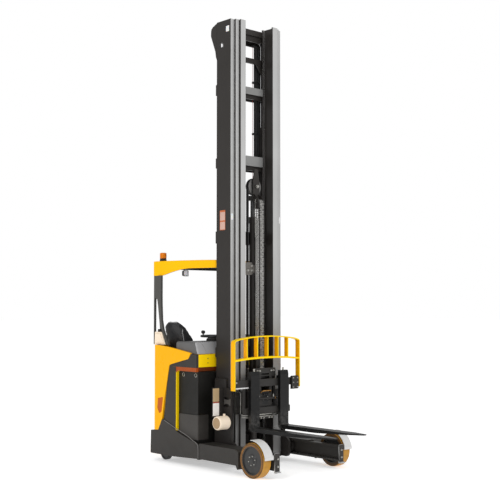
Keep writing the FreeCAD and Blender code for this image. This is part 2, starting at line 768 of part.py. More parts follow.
def overhead_guard():
    """Yellow roof frame: deep at the rear corners, thinner towards the mast."""
    low_z = 2000.0
    ring = guard_ring(0.0, low_z, GUARD_TOP_Z).cut(guard_ring(GUARD_WALL, low_z - 1.0, 2199.0))
    window = guard_ring(GUARD_WALL + 34.0, low_z, GUARD_TOP_Z + 1.0)
    ring = ring.cut(window)
    side_view = side_plate(
        [
            (GUARD_REAR_X - 5.0, 2007.0, 0),
            (-1536.0, 2009.0, 60),
            (-1355.0, 2088.0, 120),
            (-1213.0, 2114.0, 150),
            (GUARD_FRONT_X + 5.0, 2118.0, 0),
            (GUARD_FRONT_X + 5.0, GUARD_TOP_Z - 14.0, 30),
            (GUARD_FRONT_X - 60.0, GUARD_TOP_Z, 60),
            (-1500.0, GUARD_TOP_Z, 400),
            (GUARD_REAR_X - 5.0, GUARD_TOP_Z - 4.0, 0),
        ],
        -GUARD_REAR_HALF - 5.0,
        GUARD_REAR_HALF + 5.0,
    )
    return ring.common(side_view)


def guard_bars():
    """Dark roof bars on edge, side by side across the opening, on two cross rails."""
    bars = []
    count = 9
    reach = GUARD_FRONT_HALF - GUARD_WALL - 20.0
    for i in range(count):
        y = -reach + 2.0 * reach * i / (count - 1)
        bars.append(
            box(GUARD_REAR_X + GUARD_WALL, GUARD_FRONT_X - GUARD_WALL, y - 5.0, y + 5.0, 2160.0, 2197.0)
        )
    rails = [
        box(x, x + 30.0, -half, half, 2142.0, 2166.0)
        for x, half in ((-1560.0, GUARD_REAR_HALF), (-1010.0, GUARD_REAR_HALF))
    ]
    inside = guard_ring(GUARD_WALL, 2100.0, GUARD_TOP_Z)
    return joined([piece.common(inside) for piece in bars + rails])


POST_FOOT_Z = BODY_TOP_Z - 0.4
POST_THICKNESS = 40.0
POST_INNER_Y = GUARD_REAR_HALF - GUARD_WALL


def guard_rear_post(side):
    """Dark rear post: a broad plate at the roof that splits into two legs on one foot."""
    plate = side_plate(
        [
            (GUARD_REAR_X + 2.0, POST_FOOT_Z, 0),
            (-1512.0, POST_FOOT_Z, 0),
            (-1540.0, 1450.0, 200),
            (-1553.0, 2007.0, 0),
            (GUARD_REAR_X + 2.0, 2006.6, 0),
        ],
        POST_INNER_Y,
        POST_INNER_Y + POST_THICKNESS,
    )
    window = side_plate(
        [
            (GUARD_REAR_X + 36.0, POST_FOOT_Z + 28.0, 10),
            (-1574.0, POST_FOOT_Z + 28.0, 10),
            (-1600.0, 1450.0, 200),
            (GUARD_REAR_X + 74.0, 1790.0, 16),
            (GUARD_REAR_X + 37.0, 1790.0, 16),
        ],
        POST_INNER_Y - 1.0,
        POST_INNER_Y + POST_THICKNESS + 1.0,
    )
    return on_side(side, plate.cut(window))


def post_foot(side):
    """Cream cover on the foot of each rear post."""
    block = side_plate(
        [
            (GUARD_REAR_X + 26.0, POST_FOOT_Z, 0),
            (-1576.0, POST_FOOT_Z, 0),
            (-1590.0, 1352.0, 8),
            (-1612.0, 1394.0, 6),
            (GUARD_REAR_X + 26.0, 1394.0, 6),
        ],
        POST_INNER_Y + POST_THICKNESS + SEAT_GAP,
        HALF_WIDTH - 29.0,
    )
    return on_side(side, block)


def guard_front_posts():
    """Two dark tubes from the hood's frame up to the narrow front end of the roof."""
    posts = []
    for side in (RIGHT, LEFT):
        y = side * (GUARD_FRONT_HALF - 24.0)
        post = side_plate(
            [
                (HOOD_FRONT_X - 30.0, HOOD_TOP_Z + SEAT_GAP, 0),
                (HOOD_FRONT_X - 30.0, 2117.0, 0),
                (HOOD_FRONT_X - 74.0, 2115.0, 0),
                (HOOD_FRONT_X - 74.0, HOOD_TOP_Z + SEAT_GAP, 0),
            ],
            y - 18.0,
            y + 18.0,
        )
        foot = box(
            HOOD_FRONT_X - 124.0, HOOD_FRONT_X - 52.0, y - 36.0, y + 36.0,
            HOOD_TOP_Z + SEAT_GAP, HOOD_TOP_Z + 12.0,
        )
        posts.append(joined([post, foot]))
    return posts


def beacon():
    """Round warning lamp with a flat base on the rear right corner of the roof."""
    x = GUARD_REAR_X + 58.0
    y = -450.0
    base_z = GUARD_TOP_Z - 1.5
    dome = turned_z(
        [
            (base_z, 0.0),
            (base_z, 52.0),
            (base_z + 12.0, 52.0),
            (base_z + 16.0, 46.0),
            (base_z + 24.0, 46.0),
            (base_z + 26.0, 42.0),
            (base_z + 78.0, 38.0),
            (base_z + 92.0, 28.0),
            (base_z + 98.0, 0.0),
        ],
        x,
        y,
    )
    return dome


def work_lamp():
    """Square work lamp hung under the roof rail on a bent bracket."""
    lamp = side_plate(
        [
            (-1258.0, 2032.0, 10),
            (-1150.0, 2030.0, 10),
            (-1146.0, 2098.0, 10),
            (-1240.0, 2104.0, 10),
        ],
        -374.0,
        -306.0,
    )
    stem = box(-1210.0, -1190.0, -350.0, -330.0, 2096.0, 2150.0)
    arm = box(-1214.0, -1186.0, -440.0, -330.0, 2144.0, 2150.0)
    arm = arm.common(guard_ring(GUARD_WALL, 2100.0, GUARD_TOP_Z))
    return joined([lamp, stem, arm])


# ---------------------------------------------------------------- operator's place

SEAT_BOX_Y0 = -556.0
SEAT_BOX_Y1 = 70.0
SEAT_BOX_X0 = -1606.0
SEAT_BOX_X1 = -1266.0
SEAT_BOX_TOP_Z = 860.0


def seat_box():
    """Sheet-metal box over the drive motor that carries the seat."""
    floor_z = DRIVE_PLATE_TOP_Z
    outer = side_plate(
        [
            (SEAT_BOX_X0, floor_z, 0),
            (SEAT_BOX_X1, floor_z, 0),
            (SEAT_BOX_X1, SEAT_BOX_TOP_Z, 24),
            (SEAT_BOX_X0, SEAT_BOX_TOP_Z, 24),
        ],
        SEAT_BOX_Y0,
        SEAT_BOX_Y1,
    )
    inner = box(
        SEAT_BOX_X0 + 12.0, SEAT_BOX_X1 - 12.0, SEAT_BOX_Y0 + 12.0, SEAT_BOX_Y1 - 12.0,
        floor_z - 1.0, SEAT_BOX_TOP_Z - 12.0,
    )
    return outer.cut(inner)


def seat_suspension():
    """Folded rubber bellows between the seat box and the seat pan."""
    half_x = 150.0
    y0 = -430.0
    y1 = -60.0
    z = SEAT_BOX_TOP_Z
    folds = []
    for i in range(3):
        low = z + 20.0 * i
        folds.append(box(SEAT_X - half_x, SEAT_X + half_x, y0, y1, low, low + 12.0))
        folds.append(
            box(SEAT_X - half_x + 14.0, SEAT_X + half_x - 14.0, y0 + 14.0, y1 - 14.0, low + 12.0, low + 20.0)
        )
    return joined(folds)


SEAT_PAN_Z = SEAT_BOX_TOP_Z + 60.0
SEAT_PAN_HEIGHT = 24.0
SEAT_HALF = 160.0
SEAT_BACK_Y = -412.0
BACK_LEAN = 3.0


def lean_back(shape):
    """Turn a piece of the backrest about the seat's rear edge."""
    shape.rotate(FreeCAD.Vector(SEAT_X, SEAT_BACK_Y, SEAT_PAN_Z), FreeCAD.Vector(1, 0, 0), BACK_LEAN)
    return shape


def seat_pan():
    """Steel pan under the cushion, with the upright strap that holds the backrest."""
    top = SEAT_PAN_Z + SEAT_PAN_HEIGHT
    pan = plan_plate(
        [
            (SEAT_X - SEAT_HALF, SEAT_BACK_Y - 30.0, 30),
            (SEAT_X - SEAT_HALF, 20.0, 60),
            (SEAT_X + SEAT_HALF, 20.0, 60),
            (SEAT_X + SEAT_HALF, SEAT_BACK_Y - 30.0, 30),
        ],
        SEAT_PAN_Z,
        top,
    )
    strap = box(
        SEAT_X - 60.0, SEAT_X + 60.0, SEAT_BACK_Y - 22.0, SEAT_BACK_Y - 9.2, SEAT_PAN_Z, SEAT_PAN_Z + 220.0
    )
    return joined([pan, lean_back(strap)])


def seat_cushion():
    """Seat cushion with raised sides and a rounded front edge."""
    low = SEAT_PAN_Z + SEAT_PAN_HEIGHT + SEAT_GAP
    pad = plan_plate(
        [
            (SEAT_X - SEAT_HALF + 20.0, SEAT_BACK_Y + 126.0, 30),
            (SEAT_X - SEAT_HALF, -130.0, 100),
            (SEAT_X - SEAT_HALF, 40.0, 60),
            (SEAT_X + SEAT_HALF, 40.0, 60),
            (SEAT_X + SEAT_HALF, -130.0, 100),
            (SEAT_X + SEAT_HALF - 20.0, SEAT_BACK_Y + 126.0, 30),
        ],
        low,
        SEAT_TOP_Z,
    )
    dish_radius = 420.0
    dish_z = SEAT_TOP_Z + dish_radius - 26.0
    dish = rod(dish_radius, (SEAT_X, -500.0, dish_z), (SEAT_X, 100.0, dish_z))
    return pad.cut(dish)


def seat_back():
    """Backrest with deep side bolsters and a hollow middle, thin at the top."""
    low = SEAT_PAN_Z + 64.0
    rear = SEAT_BACK_Y
    side_view = Part.Face(
        rounded_wire(
            [
                (rear, low, 20),
                (rear + 116.0, low, 20),
                (rear + 122.0, low + 170.0, 150),
                (rear + 112.0, low + 345.0, 80),
                (rear + 36.0, low + 480.0, 60),
                (rear - 34.0, low + 562.0, 16),
                (rear - 64.0, low + 562.0, 14),
                (rear - 60.0, low + 480.0, 60),
                (rear - 16.0, low + 280.0, 300),
            ],
            lambda p: FreeCAD.Vector(SEAT_X - SEAT_HALF, p.x, p.y),
        )
    ).extrude(FreeCAD.Vector(2.0 * SEAT_HALF, 0, 0))
    front_view = side_plate(
        [
            (SEAT_X - SEAT_HALF, low - 5.0, 40),
            (SEAT_X - SEAT_HALF, low + 340.0, 250),
            (SEAT_X - SEAT_HALF + 26.0, low + 562.5, 60),
            (SEAT_X + SEAT_HALF - 26.0, low + 562.5, 60),
            (SEAT_X + SEAT_HALF, low + 340.0, 250),
            (SEAT_X + SEAT_HALF, low - 5.0, 40),
        ],
        rear - 120.0,
        rear + 180.0,
    )
    pad = side_view.common(front_view)
    hollow_radius = 128.0
    hollow = rod(
        hollow_radius,
        (SEAT_X, rear + 224.0, low - 120.0),
        (SEAT_X, rear + 64.0, low + 640.0),
    )
    return lean_back(pad.cut(hollow))


FLOOR_TOP_Z = FLOOR_Z + 4.0


def floor_plate():
    """Operator's floor with its rubber mat edge and the step lip on the entry side."""
    plate = plan_plate(
        [
            (REAR_X + 62.0, SEAT_BOX_Y1 + SEAT_GAP, 0),
            (REAR_X + 62.0, HALF_WIDTH - 39.0, 20),
            (BULKHEAD_X - 14.0, HALF_WIDTH - 39.0, 0),
            (BULKHEAD_X - 14.0, SEAT_BOX_Y1 + SEAT_GAP, 0),
        ],
        DRIVE_PLATE_TOP_Z,
        FLOOR_TOP_Z,
    )
    return plate


def pedals():
    """Brake and drive pedal: sloping pads on bent arms that rise from the floor."""
    result = []
    for x, width in ((-1470.0, 70.0), (-1360.0, 56.0)):
        pad = Part.Face(
            rounded_wire(
                [
                    (300.0, FLOOR_TOP_Z, 0),
                    (330.0, FLOOR_TOP_Z, 0),
                    (392.0, FLOOR_Z + 62.0, 6),
                    (486.0, FLOOR_Z + 110.0, 5),
                    (482.0, FLOOR_Z + 122.0, 5),
                    (372.0, FLOOR_Z + 72.0, 10),
                ],
                lambda p: FreeCAD.Vector(x - width / 2.0, p.x, p.y),
            )
        ).extrude(FreeCAD.Vector(width, 0, 0))
        result.append(pad)
    return result


WHEEL_HUB_X = -1090.0
WHEEL_HUB_Y = -190.0
STEERING_RADIUS = 140.0


def steering_wheel():
    """Small steering wheel with three spokes and a spinner knob on the hood."""
    z = HOOD_TOP_Z + 52.0
    rim = Part.makeTorus(STEERING_RADIUS, 13.0, FreeCAD.Vector(WHEEL_HUB_X, WHEEL_HUB_Y, z))
    hub = turned_z(
        [
            (HOOD_TOP_Z + SEAT_GAP, 0.0),
            (HOOD_TOP_Z + SEAT_GAP, 46.0),
            (HOOD_TOP_Z + 8.0, 42.0),
            (HOOD_TOP_Z + 20.0, 26.0),
            (z - 16.0, 26.0),
            (z - 12.0, 44.0),
            (z + 6.0, 40.0),
            (z + 10.0, 0.0),
        ],
        WHEEL_HUB_X,
        WHEEL_HUB_Y,
    )
    spokes = []
    for angle in (90.0, 210.0, 330.0):
        a = math.radians(angle)
        end = (
            WHEEL_HUB_X + STEERING_RADIUS * math.cos(a),
            WHEEL_HUB_Y + STEERING_RADIUS * math.sin(a),
            z,
        )
        spokes.append(rod(9.0, (WHEEL_HUB_X, WHEEL_HUB_Y, z - 4.0), end))
    knob_x = WHEEL_HUB_X - STEERING_RADIUS * math.cos(math.radians(20.0))
    knob_y = WHEEL_HUB_Y - STEERING_RADIUS * math.sin(math.radians(20.0))
    knob = turned_z(
        [
            (z, 0.0), (z, 8.0), (z + 30.0, 8.0), (z + 34.0, 17.0), (z + 48.0, 20.0),
            (z + 56.0, 14.0), (z + 60.0, 0.0),
        ],
        knob_x,
        knob_y,
    )
    return joined([rim, hub, knob] + spokes)


def control_console():
    """Armrest console on the hood with the four fingertip levers for the mast."""
    base_z = HOOD_TOP_Z + SEAT_GAP
    body = side_plate(
        [
            (-1210.0, base_z, 0),
            (-1005.0, base_z, 0),
            (-1005.0, base_z + 22.0, 8),
            (-1060.0, base_z + 62.0, 16),
            (-1210.0, base_z + 62.0, 12),
        ],
        70.0,
        300.0,
    )
    levers = []
    for i in range(4):
        y = 110.0 + 50.0 * i
        foot = (-1100.0, y, base_z + 52.0)
        tip = (-1092.0, y, base_z + 104.0)
        levers.append(rod(4.0, foot, tip))
        levers.append(Part.makeSphere(11.0, FreeCAD.Vector(*tip)))
    return joined([body] + levers)


# ---------------------------------------------------------------- drive unit and caster

def drive_unit():
    """Upright motor, slewing flange, gearbox fork and wheel axle, turned for steering."""
    radius = DRIVE_WHEEL_DIAMETER / 2.0
    plate_top = DRIVE_PLATE_TOP_Z
    head = turned_z(
        [
            (DRIVE_AXLE_Z + radius + 7.0, 0.0),
            (DRIVE_AXLE_Z + radius + 7.0, SLEW_HOLE_RADIUS - 8.0),
            (plate_top + SEAT_GAP, SLEW_HOLE_RADIUS - 8.0),
            (plate_top + SEAT_GAP, SLEW_HOLE_RADIUS + 11.0),
            (plate_top + 12.0, SLEW_HOLE_RADIUS + 11.0),
            (plate_top + 12.0, 90.0),
            (SEAT_BOX_TOP_Z - 150.0, 90.0),
            (SEAT_BOX_TOP_Z - 150.0, 76.0),
            (SEAT_BOX_TOP_Z - 100.0, 70.0),
            (SEAT_BOX_TOP_Z - 100.0, 0.0),
        ],
        DRIVE_X,
        DRIVE_Y,
    )
    half = DRIVE_WHEEL_WIDTH / 2.0
    gearbox = side_plate(
        [
            (DRIVE_X - 88.0, DRIVE_AXLE_Z + radius + 16.0, 0),
            (DRIVE_X - 66.0, DRIVE_AXLE_Z - 52.0, 50),
            (DRIVE_X + 66.0, DRIVE_AXLE_Z - 52.0, 50),
            (DRIVE_X + 88.0, DRIVE_AXLE_Z + radius + 16.0, 0),
        ],
        DRIVE_Y + half + 6.0,
        DRIVE_Y + half + 44.0,
    )
    axle = rod(34.95, (DRIVE_X, DRIVE_Y - half + 18.0, DRIVE_AXLE_Z),
               (DRIVE_X, DRIVE_Y + half + 20.0, DRIVE_AXLE_Z))
    return joined([head, gearbox, axle])


def drive_wheel():
    """Drive wheel: iron centre with a bonded polyurethane tread."""
    half = DRIVE_WHEEL_WIDTH / 2.0
    radius = DRIVE_WHEEL_DIAMETER / 2.0
    profile = [
        (DRIVE_Y - half + 18.0, 35.0),
        (DRIVE_Y - half + 18.0, 58.0),
        (DRIVE_Y - half + 30.0, 66.0),
        (DRIVE_Y - half + 30.0, radius - 62.0),
        (DRIVE_Y - half + 4.0, radius - 54.0),
        (DRIVE_Y - half, radius - 44.0),
        (DRIVE_Y - half, radius - 10.0),
        (DRIVE_Y - half + 10.0, radius),
        (DRIVE_Y + half - 10.0, radius),
        (DRIVE_Y + half, radius - 10.0),
        (DRIVE_Y + half, radius - 44.0),
        (DRIVE_Y + half - 4.0, radius - 54.0),
        (DRIVE_Y + half - 14.0, radius - 62.0),
        (DRIVE_Y + half - 14.0, 60.0),
        (DRIVE_Y + half, 56.0),
        (DRIVE_Y + half, 35.0),
    ]
    return turned_y(profile, DRIVE_X, DRIVE_AXLE_Z)


CASTER_AXLE_Z = CASTER_WHEEL_DIAMETER / 2.0


def caster_fork():
    """Swivelling fork of the rear support wheel, hung under the frame on its bearing."""
    half = CASTER_WHEEL_WIDTH / 2.0
    crown_z = CASTER_WHEEL_DIAMETER + 12.0
    wheel_x = CASTER_X - CASTER_TRAIL
    crown = plan_plate(
        [
            (CASTER_X - 50.0, CASTER_Y - half - 14.0, 14),
            (CASTER_X - 50.0, CASTER_Y + half + 14.0, 14),
            (CASTER_X + 46.0, CASTER_Y + half + 14.0, 14),
            (CASTER_X + 46.0, CASTER_Y - half - 14.0, 14),
        ],
        crown_z,
        crown_z + 12.0,
    )
    bearing = rod(48.0, (CASTER_X, CASTER_Y, crown_z + 6.0), (CASTER_X, CASTER_Y, 195.7))
    cheeks = []
    for y in (CASTER_Y - half - 12.0, CASTER_Y + half + 4.0):
        cheeks.append(
            side_plate(
                [
                    (CASTER_X - 46.0, crown_z + 6.0, 0),
                    (wheel_x - 24.0, CASTER_AXLE_Z - 20.0, 20),
                    (wheel_x + 22.0, CASTER_AXLE_Z - 20.0, 20),
                    (CASTER_X + 40.0, crown_z + 6.0, 0),
                ],
                y,
                y + 8.0,
            )
        )
    pin = rod(9.95, (wheel_x, CASTER_Y - half - 14.0, CASTER_AXLE_Z),
              (wheel_x, CASTER_Y + half + 14.0, CASTER_AXLE_Z))
    return joined([crown, bearing, pin] + cheeks)


def caster_wheel():
    """Polyurethane support wheel on its own axle pin."""
    half = CASTER_WHEEL_WIDTH / 2.0
    radius = CASTER_WHEEL_DIAMETER / 2.0
    profile = [
        (CASTER_Y - half - 3.0, 10.0),
        (CASTER_Y - half - 3.0, 24.0),
        (CASTER_Y - half + 8.0, 28.0),
        (CASTER_Y - half + 8.0, radius - 22.0),
        (CASTER_Y - half, radius - 18.0),
        (CASTER_Y - half, radius - 7.0),
        (CASTER_Y - half + 7.0, radius),
        (CASTER_Y + half - 7.0, radius),
        (CASTER_Y + half, radius - 7.0),
        (CASTER_Y + half, radius - 18.0),
        (CASTER_Y + half - 8.0, radius - 22.0),
        (CASTER_Y + half - 8.0, 28.0),
        (CASTER_Y + half + 3.0, 24.0),
        (CASTER_Y + half + 3.0, 10.0),
    ]
    return turned_y(profile, CASTER_X - CASTER_TRAIL, CASTER_AXLE_Z)


# ---------------------------------------------------------------- mast rails

RAIL_WEB_SETBACK = 31.0
MIDDLE = 1
INNER = 2


def stage_front_x(stage):
    """Front face of a stage's rails: 0 outer, 1 middle, 2 inner."""
    return OUTER_FRONT_X + STAGE_STEP_X * stage


def stage_rear_x(stage):
    """Back face of a stage's rails."""
    return stage_front_x(stage) - RAIL_DEPTH


def stage_half(stage):
    """Outermost half-width of a stage's rails."""
    return OUTER_HALF_Y - STAGE_STEP_Y * stage


def stage_bottom_z(stage):
    """Lower end of a stage's rails."""
    return OUTER_BOTTOM_Z + STAGE_LIFT_OFF * stage


def outer_rail():
    """Left rail of the outer stage: a channel open inwards, its web run back as a fin.

    Near the top a window in the web and a notch in the rear flange give access to the guides.
    """
    front = stage_front_x(0)
    rear = stage_rear_x(0)
    half = OUTER_HALF_Y
    tip = half - RAIL_WIDTH
    web = half - RAIL_WEB
    corners = [
        (front, half, 3),
        (front, tip, 4),
        (front - RAIL_FLANGE, tip, 4),
        (front - RAIL_FLANGE, web, 9),
        (rear + RAIL_FLANGE, web, 9),
        (rear + RAIL_FLANGE, tip, 4),
        (rear, tip, 4),
        (rear, web, 9),
        (OUTER_FIN_X, web, 0),
        (OUTER_FIN_X, half, 3),
    ]
    rail = plan_plate(corners, OUTER_BOTTOM_Z, MAST_TOP_Z)
    low_z = MAST_TOP_Z - 285.0
    high_z = low_z + 48.0
    window = box(rear + 4.0, rear + 53.0, web - 1.0, half + 1.0, low_z, high_z)
    notch = box(rear - 1.0, rear + RAIL_FLANGE + 1.0, tip - 1.0, web + 1.0, low_z, high_z)
    return rail.cut(window).cut(notch)


ROLLER_RADIUS = RAIL_DEPTH / 2.0 - RAIL_FLANGE - ROLLER_CLEARANCE


def inner_stage_rail(stage):
    """Left I-section rail of a moving stage, with the roller that guides its lower end."""
    front = stage_front_x(stage)
    rear = stage_rear_x(stage)
    half = stage_half(stage)
    tip = half - RAIL_WIDTH
    web_out = half - RAIL_WEB_SETBACK
    web_in = web_out - STAGE_WEB
    bottom = stage_bottom_z(stage)
    corners = [
        (front, half, 4),
        (front, tip, 4),
        (front - RAIL_FLANGE, tip, 4),
        (front - RAIL_FLANGE, web_in, 8),
        (rear + RAIL_FLANGE, web_in, 8),
        (rear + RAIL_FLANGE, tip, 4),
        (rear, tip, 4),
        (rear, half, 4),
        (rear + RAIL_FLANGE, half, 4),
        (rear + RAIL_FLANGE, web_out, 8),
        (front - RAIL_FLANGE, web_out, 8),
        (front - RAIL_FLANGE, half, 4),
    ]
    rail = plan_plate(corners, bottom, MAST_TOP_Z)
    around_rear = stage_rear_x(stage - 1)
    around_web = stage_web_inner(stage - 1)
    roller_x = around_rear + RAIL_DEPTH / 2.0
    roller_z = bottom + ROLLER_RADIUS + 30.0
    notch_half = ROLLER_RADIUS + 12.0
    notch = box(
        rear - 1.0, rear + RAIL_FLANGE + 12.0, web_out, half + 1.0,
        roller_z - notch_half, roller_z + notch_half,
    )
    rail = rail.cut(notch)
    roller_y0 = stage_tip(stage - 1) - 3.0
    roller_y1 = around_web - 2.0
    roller = turned_y(
        [
            (roller_y0, 0.0),
            (roller_y0, ROLLER_RADIUS - 6.0),
            (roller_y0 + 3.0, ROLLER_RADIUS),
            (roller_y1 - 3.0, ROLLER_RADIUS),
            (roller_y1, ROLLER_RADIUS - 5.0),
            (roller_y1, 22.0),
            (roller_y1 - 4.0, 18.0),
            (roller_y1 - 4.0, 0.0),
        ],
        roller_x,
        roller_z,
    )
    pin = rod(24.0, (roller_x, web_in, roller_z), (roller_x, roller_y0 + 2.0, roller_z))
    return joined([rail, pin, roller])


def stage_web_inner(stage):
    """Inner face of a stage's web, where the next stage's roller runs."""
    if stage == 0:
        return OUTER_HALF_Y - RAIL_WEB
    return stage_half(stage) - RAIL_WEB_SETBACK - STAGE_WEB


def stage_tip(stage):
    """Inner edge of a stage's flanges."""
    return stage_half(stage) - RAIL_WIDTH


# ---------------------------------------------------------------- cross-members

def below_top(*levels):
    """Lower and upper edges of ties that are placed by their distance from the mast's top."""
    return tuple((MAST_TOP_Z - low, MAST_TOP_Z - high) for low, high in levels)


OUTER_CROSS_Z = ((120.0, 300.0), (1150.0, 1260.0), (2375.0, 2505.0)) + below_top(
    (1435.0, 1335.0), (805.0, 685.0), (100.0, 15.0)
)
MIDDLE_CROSS_Z = ((330.0, 430.0), (1170.0, 1250.0), (2385.0, 2500.0)) + below_top(
    (1430.0, 1335.0), (800.0, 690.0), (398.0, 340.0), (150.0, 90.0)
)
INNER_CROSS_Z = ((480.0, 560.0), (1180.0, 1250.0), (2370.0, 2510.0)) + below_top(
    (1440.0, 1332.0), (812.0, 678.0), (90.0, 28.0)
)


def outer_crossmembers():
    """Ties behind the outer stage, and the top bracket plate on each of its sides."""
    ties = []
    for z0, z1 in OUTER_CROSS_Z:
        tie = front_plate(
            [
                (-OUTER_HALF_Y, z0, 6),
                (-OUTER_HALF_Y, z1, 6),
                (OUTER_HALF_Y, z1, 6),
                (OUTER_HALF_Y, z0, 6),
            ],
            OUTER_FIN_X - 14.0,
            OUTER_FIN_X,
        )
        ties.append(tie)
    bracket = side_plate(
        [
            (OUTER_FIN_X, MAST_TOP_Z - 412.0, 0),
            (OUTER_FIN_X - 15.0, MAST_TOP_Z - 375.0, 30),
            (OUTER_FIN_X - 24.0, MAST_TOP_Z - 318.0, 20),
            (OUTER_FIN_X - 100.0, MAST_TOP_Z - 130.0, 40),
            (OUTER_FIN_X - 96.0, MAST_TOP_Z - 48.0, 60),
            (OUTER_FIN_X, MAST_TOP_Z - 8.0, 0),
        ],
        OUTER_HALF_Y - RAIL_WEB,
        OUTER_HALF_Y,
    )
    ties[0] = joined([ties[0], reach_rod()])
    rear_tie = box(
        OUTER_FIN_X - 93.0, OUTER_FIN_X - 78.0, -OUTER_HALF_Y, OUTER_HALF_Y,
        MAST_TOP_Z - 150.0, MAST_TOP_Z - 55.0,
    )
    upper = joined([ties[-1], rear_tie] + both_sides(bracket))
    return ties[:-1] + [upper]


def stage_crossmembers(stage, levels):
    """Ties between the rear flanges of a moving stage, let in flush with their back face."""
    rear = stage_rear_x(stage)
    half = stage_tip(stage)
    depth = RAIL_FLANGE - 1.0
    ties = []
    for z0, z1 in levels:
        ties.append(box(rear, rear + depth, -half, half, z0, z1))
    return ties


def middle_crossmembers():
    """Middle stage's ties; the top one carries the heads of the lift rods."""
    ties = stage_crossmembers(MIDDLE, MIDDLE_CROSS_Z)
    rear = stage_rear_x(MIDDLE)
    half = stage_tip(MIDDLE)
    gusset_z = MIDDLE_CROSS_Z[-2][0]
    gusset = front_plate(
        [(half - 110.0, gusset_z, 0), (half, gusset_z, 0), (half, gusset_z - 162.0, 0)],
        rear,
        rear + 14.0,
    )
    top_z0 = MIDDLE_CROSS_Z[-1][0]
    heads = []
    for side in (RIGHT, LEFT):
        y = side * LIFT_CYLINDER_Y
        heads.append(
            plan_plate(
                [
                    (rear, y - side * 30.0, 0),
                    (LIFT_CYLINDER_X - 22.0, y - side * 30.0, 16),
                    (LIFT_CYLINDER_X - 22.0, y + side * 30.0, 16),
                    (rear, y + side * 30.0, 0),
                ],
                top_z0 + 12.0,
                top_z0 + 40.0,
            )
        )
    rods = []
    for side in (RIGHT, LEFT):
        y = side * LIFT_CYLINDER_Y
        rods.append(rod(LIFT_ROD_RADIUS, (LIFT_CYLINDER_X, y, 150.0), (LIFT_CYLINDER_X, y, top_z0 + 14.0)))
    top = joined([ties[-1]] + heads + rods)
    gusset_tie = joined([ties[-2]] + both_sides(gusset))
    return ties[:-2] + [gusset_tie, top]


def inner_crossmembers():
    """Inner stage's ties and the foot plate that the free-lift cylinder stands on."""
    ties = stage_crossmembers(INNER, INNER_CROSS_Z)
    rear = stage_rear_x(INNER)
    front = stage_front_x(INNER)
    half = stage_tip(INNER)
    bottom = stage_bottom_z(INNER)
    foot = plan_plate(
        [
            (rear, -half, 0),
            (rear, half, 0),
            (front - 55.0, half, 20),
            (front - 43.0, 60.0, 20),
            (front - 43.0, -60.0, 20),
            (front - 55.0, -half, 20),
        ],
        bottom,
        bottom + 20.0,
    )
    return ties + [foot]


# ---------------------------------------------------------------- lift cylinders

LIFT_TUBE_TOP_Z = MAST_TOP_Z - 1090.0


def lift_cylinders():
    """Pair of lift cylinder tubes behind the outer rails, standing on the mast foot."""
    tubes = []
    for side in (RIGHT, LEFT):
        outer = LIFT_CYLINDER_RADIUS
        bore = LIFT_ROD_RADIUS + 4.0
        gland = LIFT_ROD_RADIUS + 0.05
        tube = turned_z(
            [
                (OUTER_BOTTOM_Z, 0.0),
                (OUTER_BOTTOM_Z, outer),
                (LIFT_TUBE_TOP_Z - 60.0, outer),
                (LIFT_TUBE_TOP_Z - 60.0, outer + 4.0),
                (LIFT_TUBE_TOP_Z, outer + 4.0),
                (LIFT_TUBE_TOP_Z, gland),
                (LIFT_TUBE_TOP_Z - 60.0, gland),
                (LIFT_TUBE_TOP_Z - 60.0, bore),
                (OUTER_BOTTOM_Z + 30.0, bore),
                (OUTER_BOTTOM_Z + 30.0, 0.0),
            ],
            LIFT_CYLINDER_X,
            side * LIFT_CYLINDER_Y,
        )
        tubes.append(tube)
    return tubes


FREE_TUBE_TOP_Z = 2670.0
CHAIN_ANCHOR_Z = 1290.0
ANCHOR_DEPTH = 315.0          # the chain anchor's sheath and the hose pipes end this far down
ANCHOR_WALL = 3.0
HOSE_SPREAD_Y = 86.0
HOSE_RADIUS = 8.0
HOSE_X = (FREE_LIFT_X + 17.0, FREE_LIFT_X - 5.0)


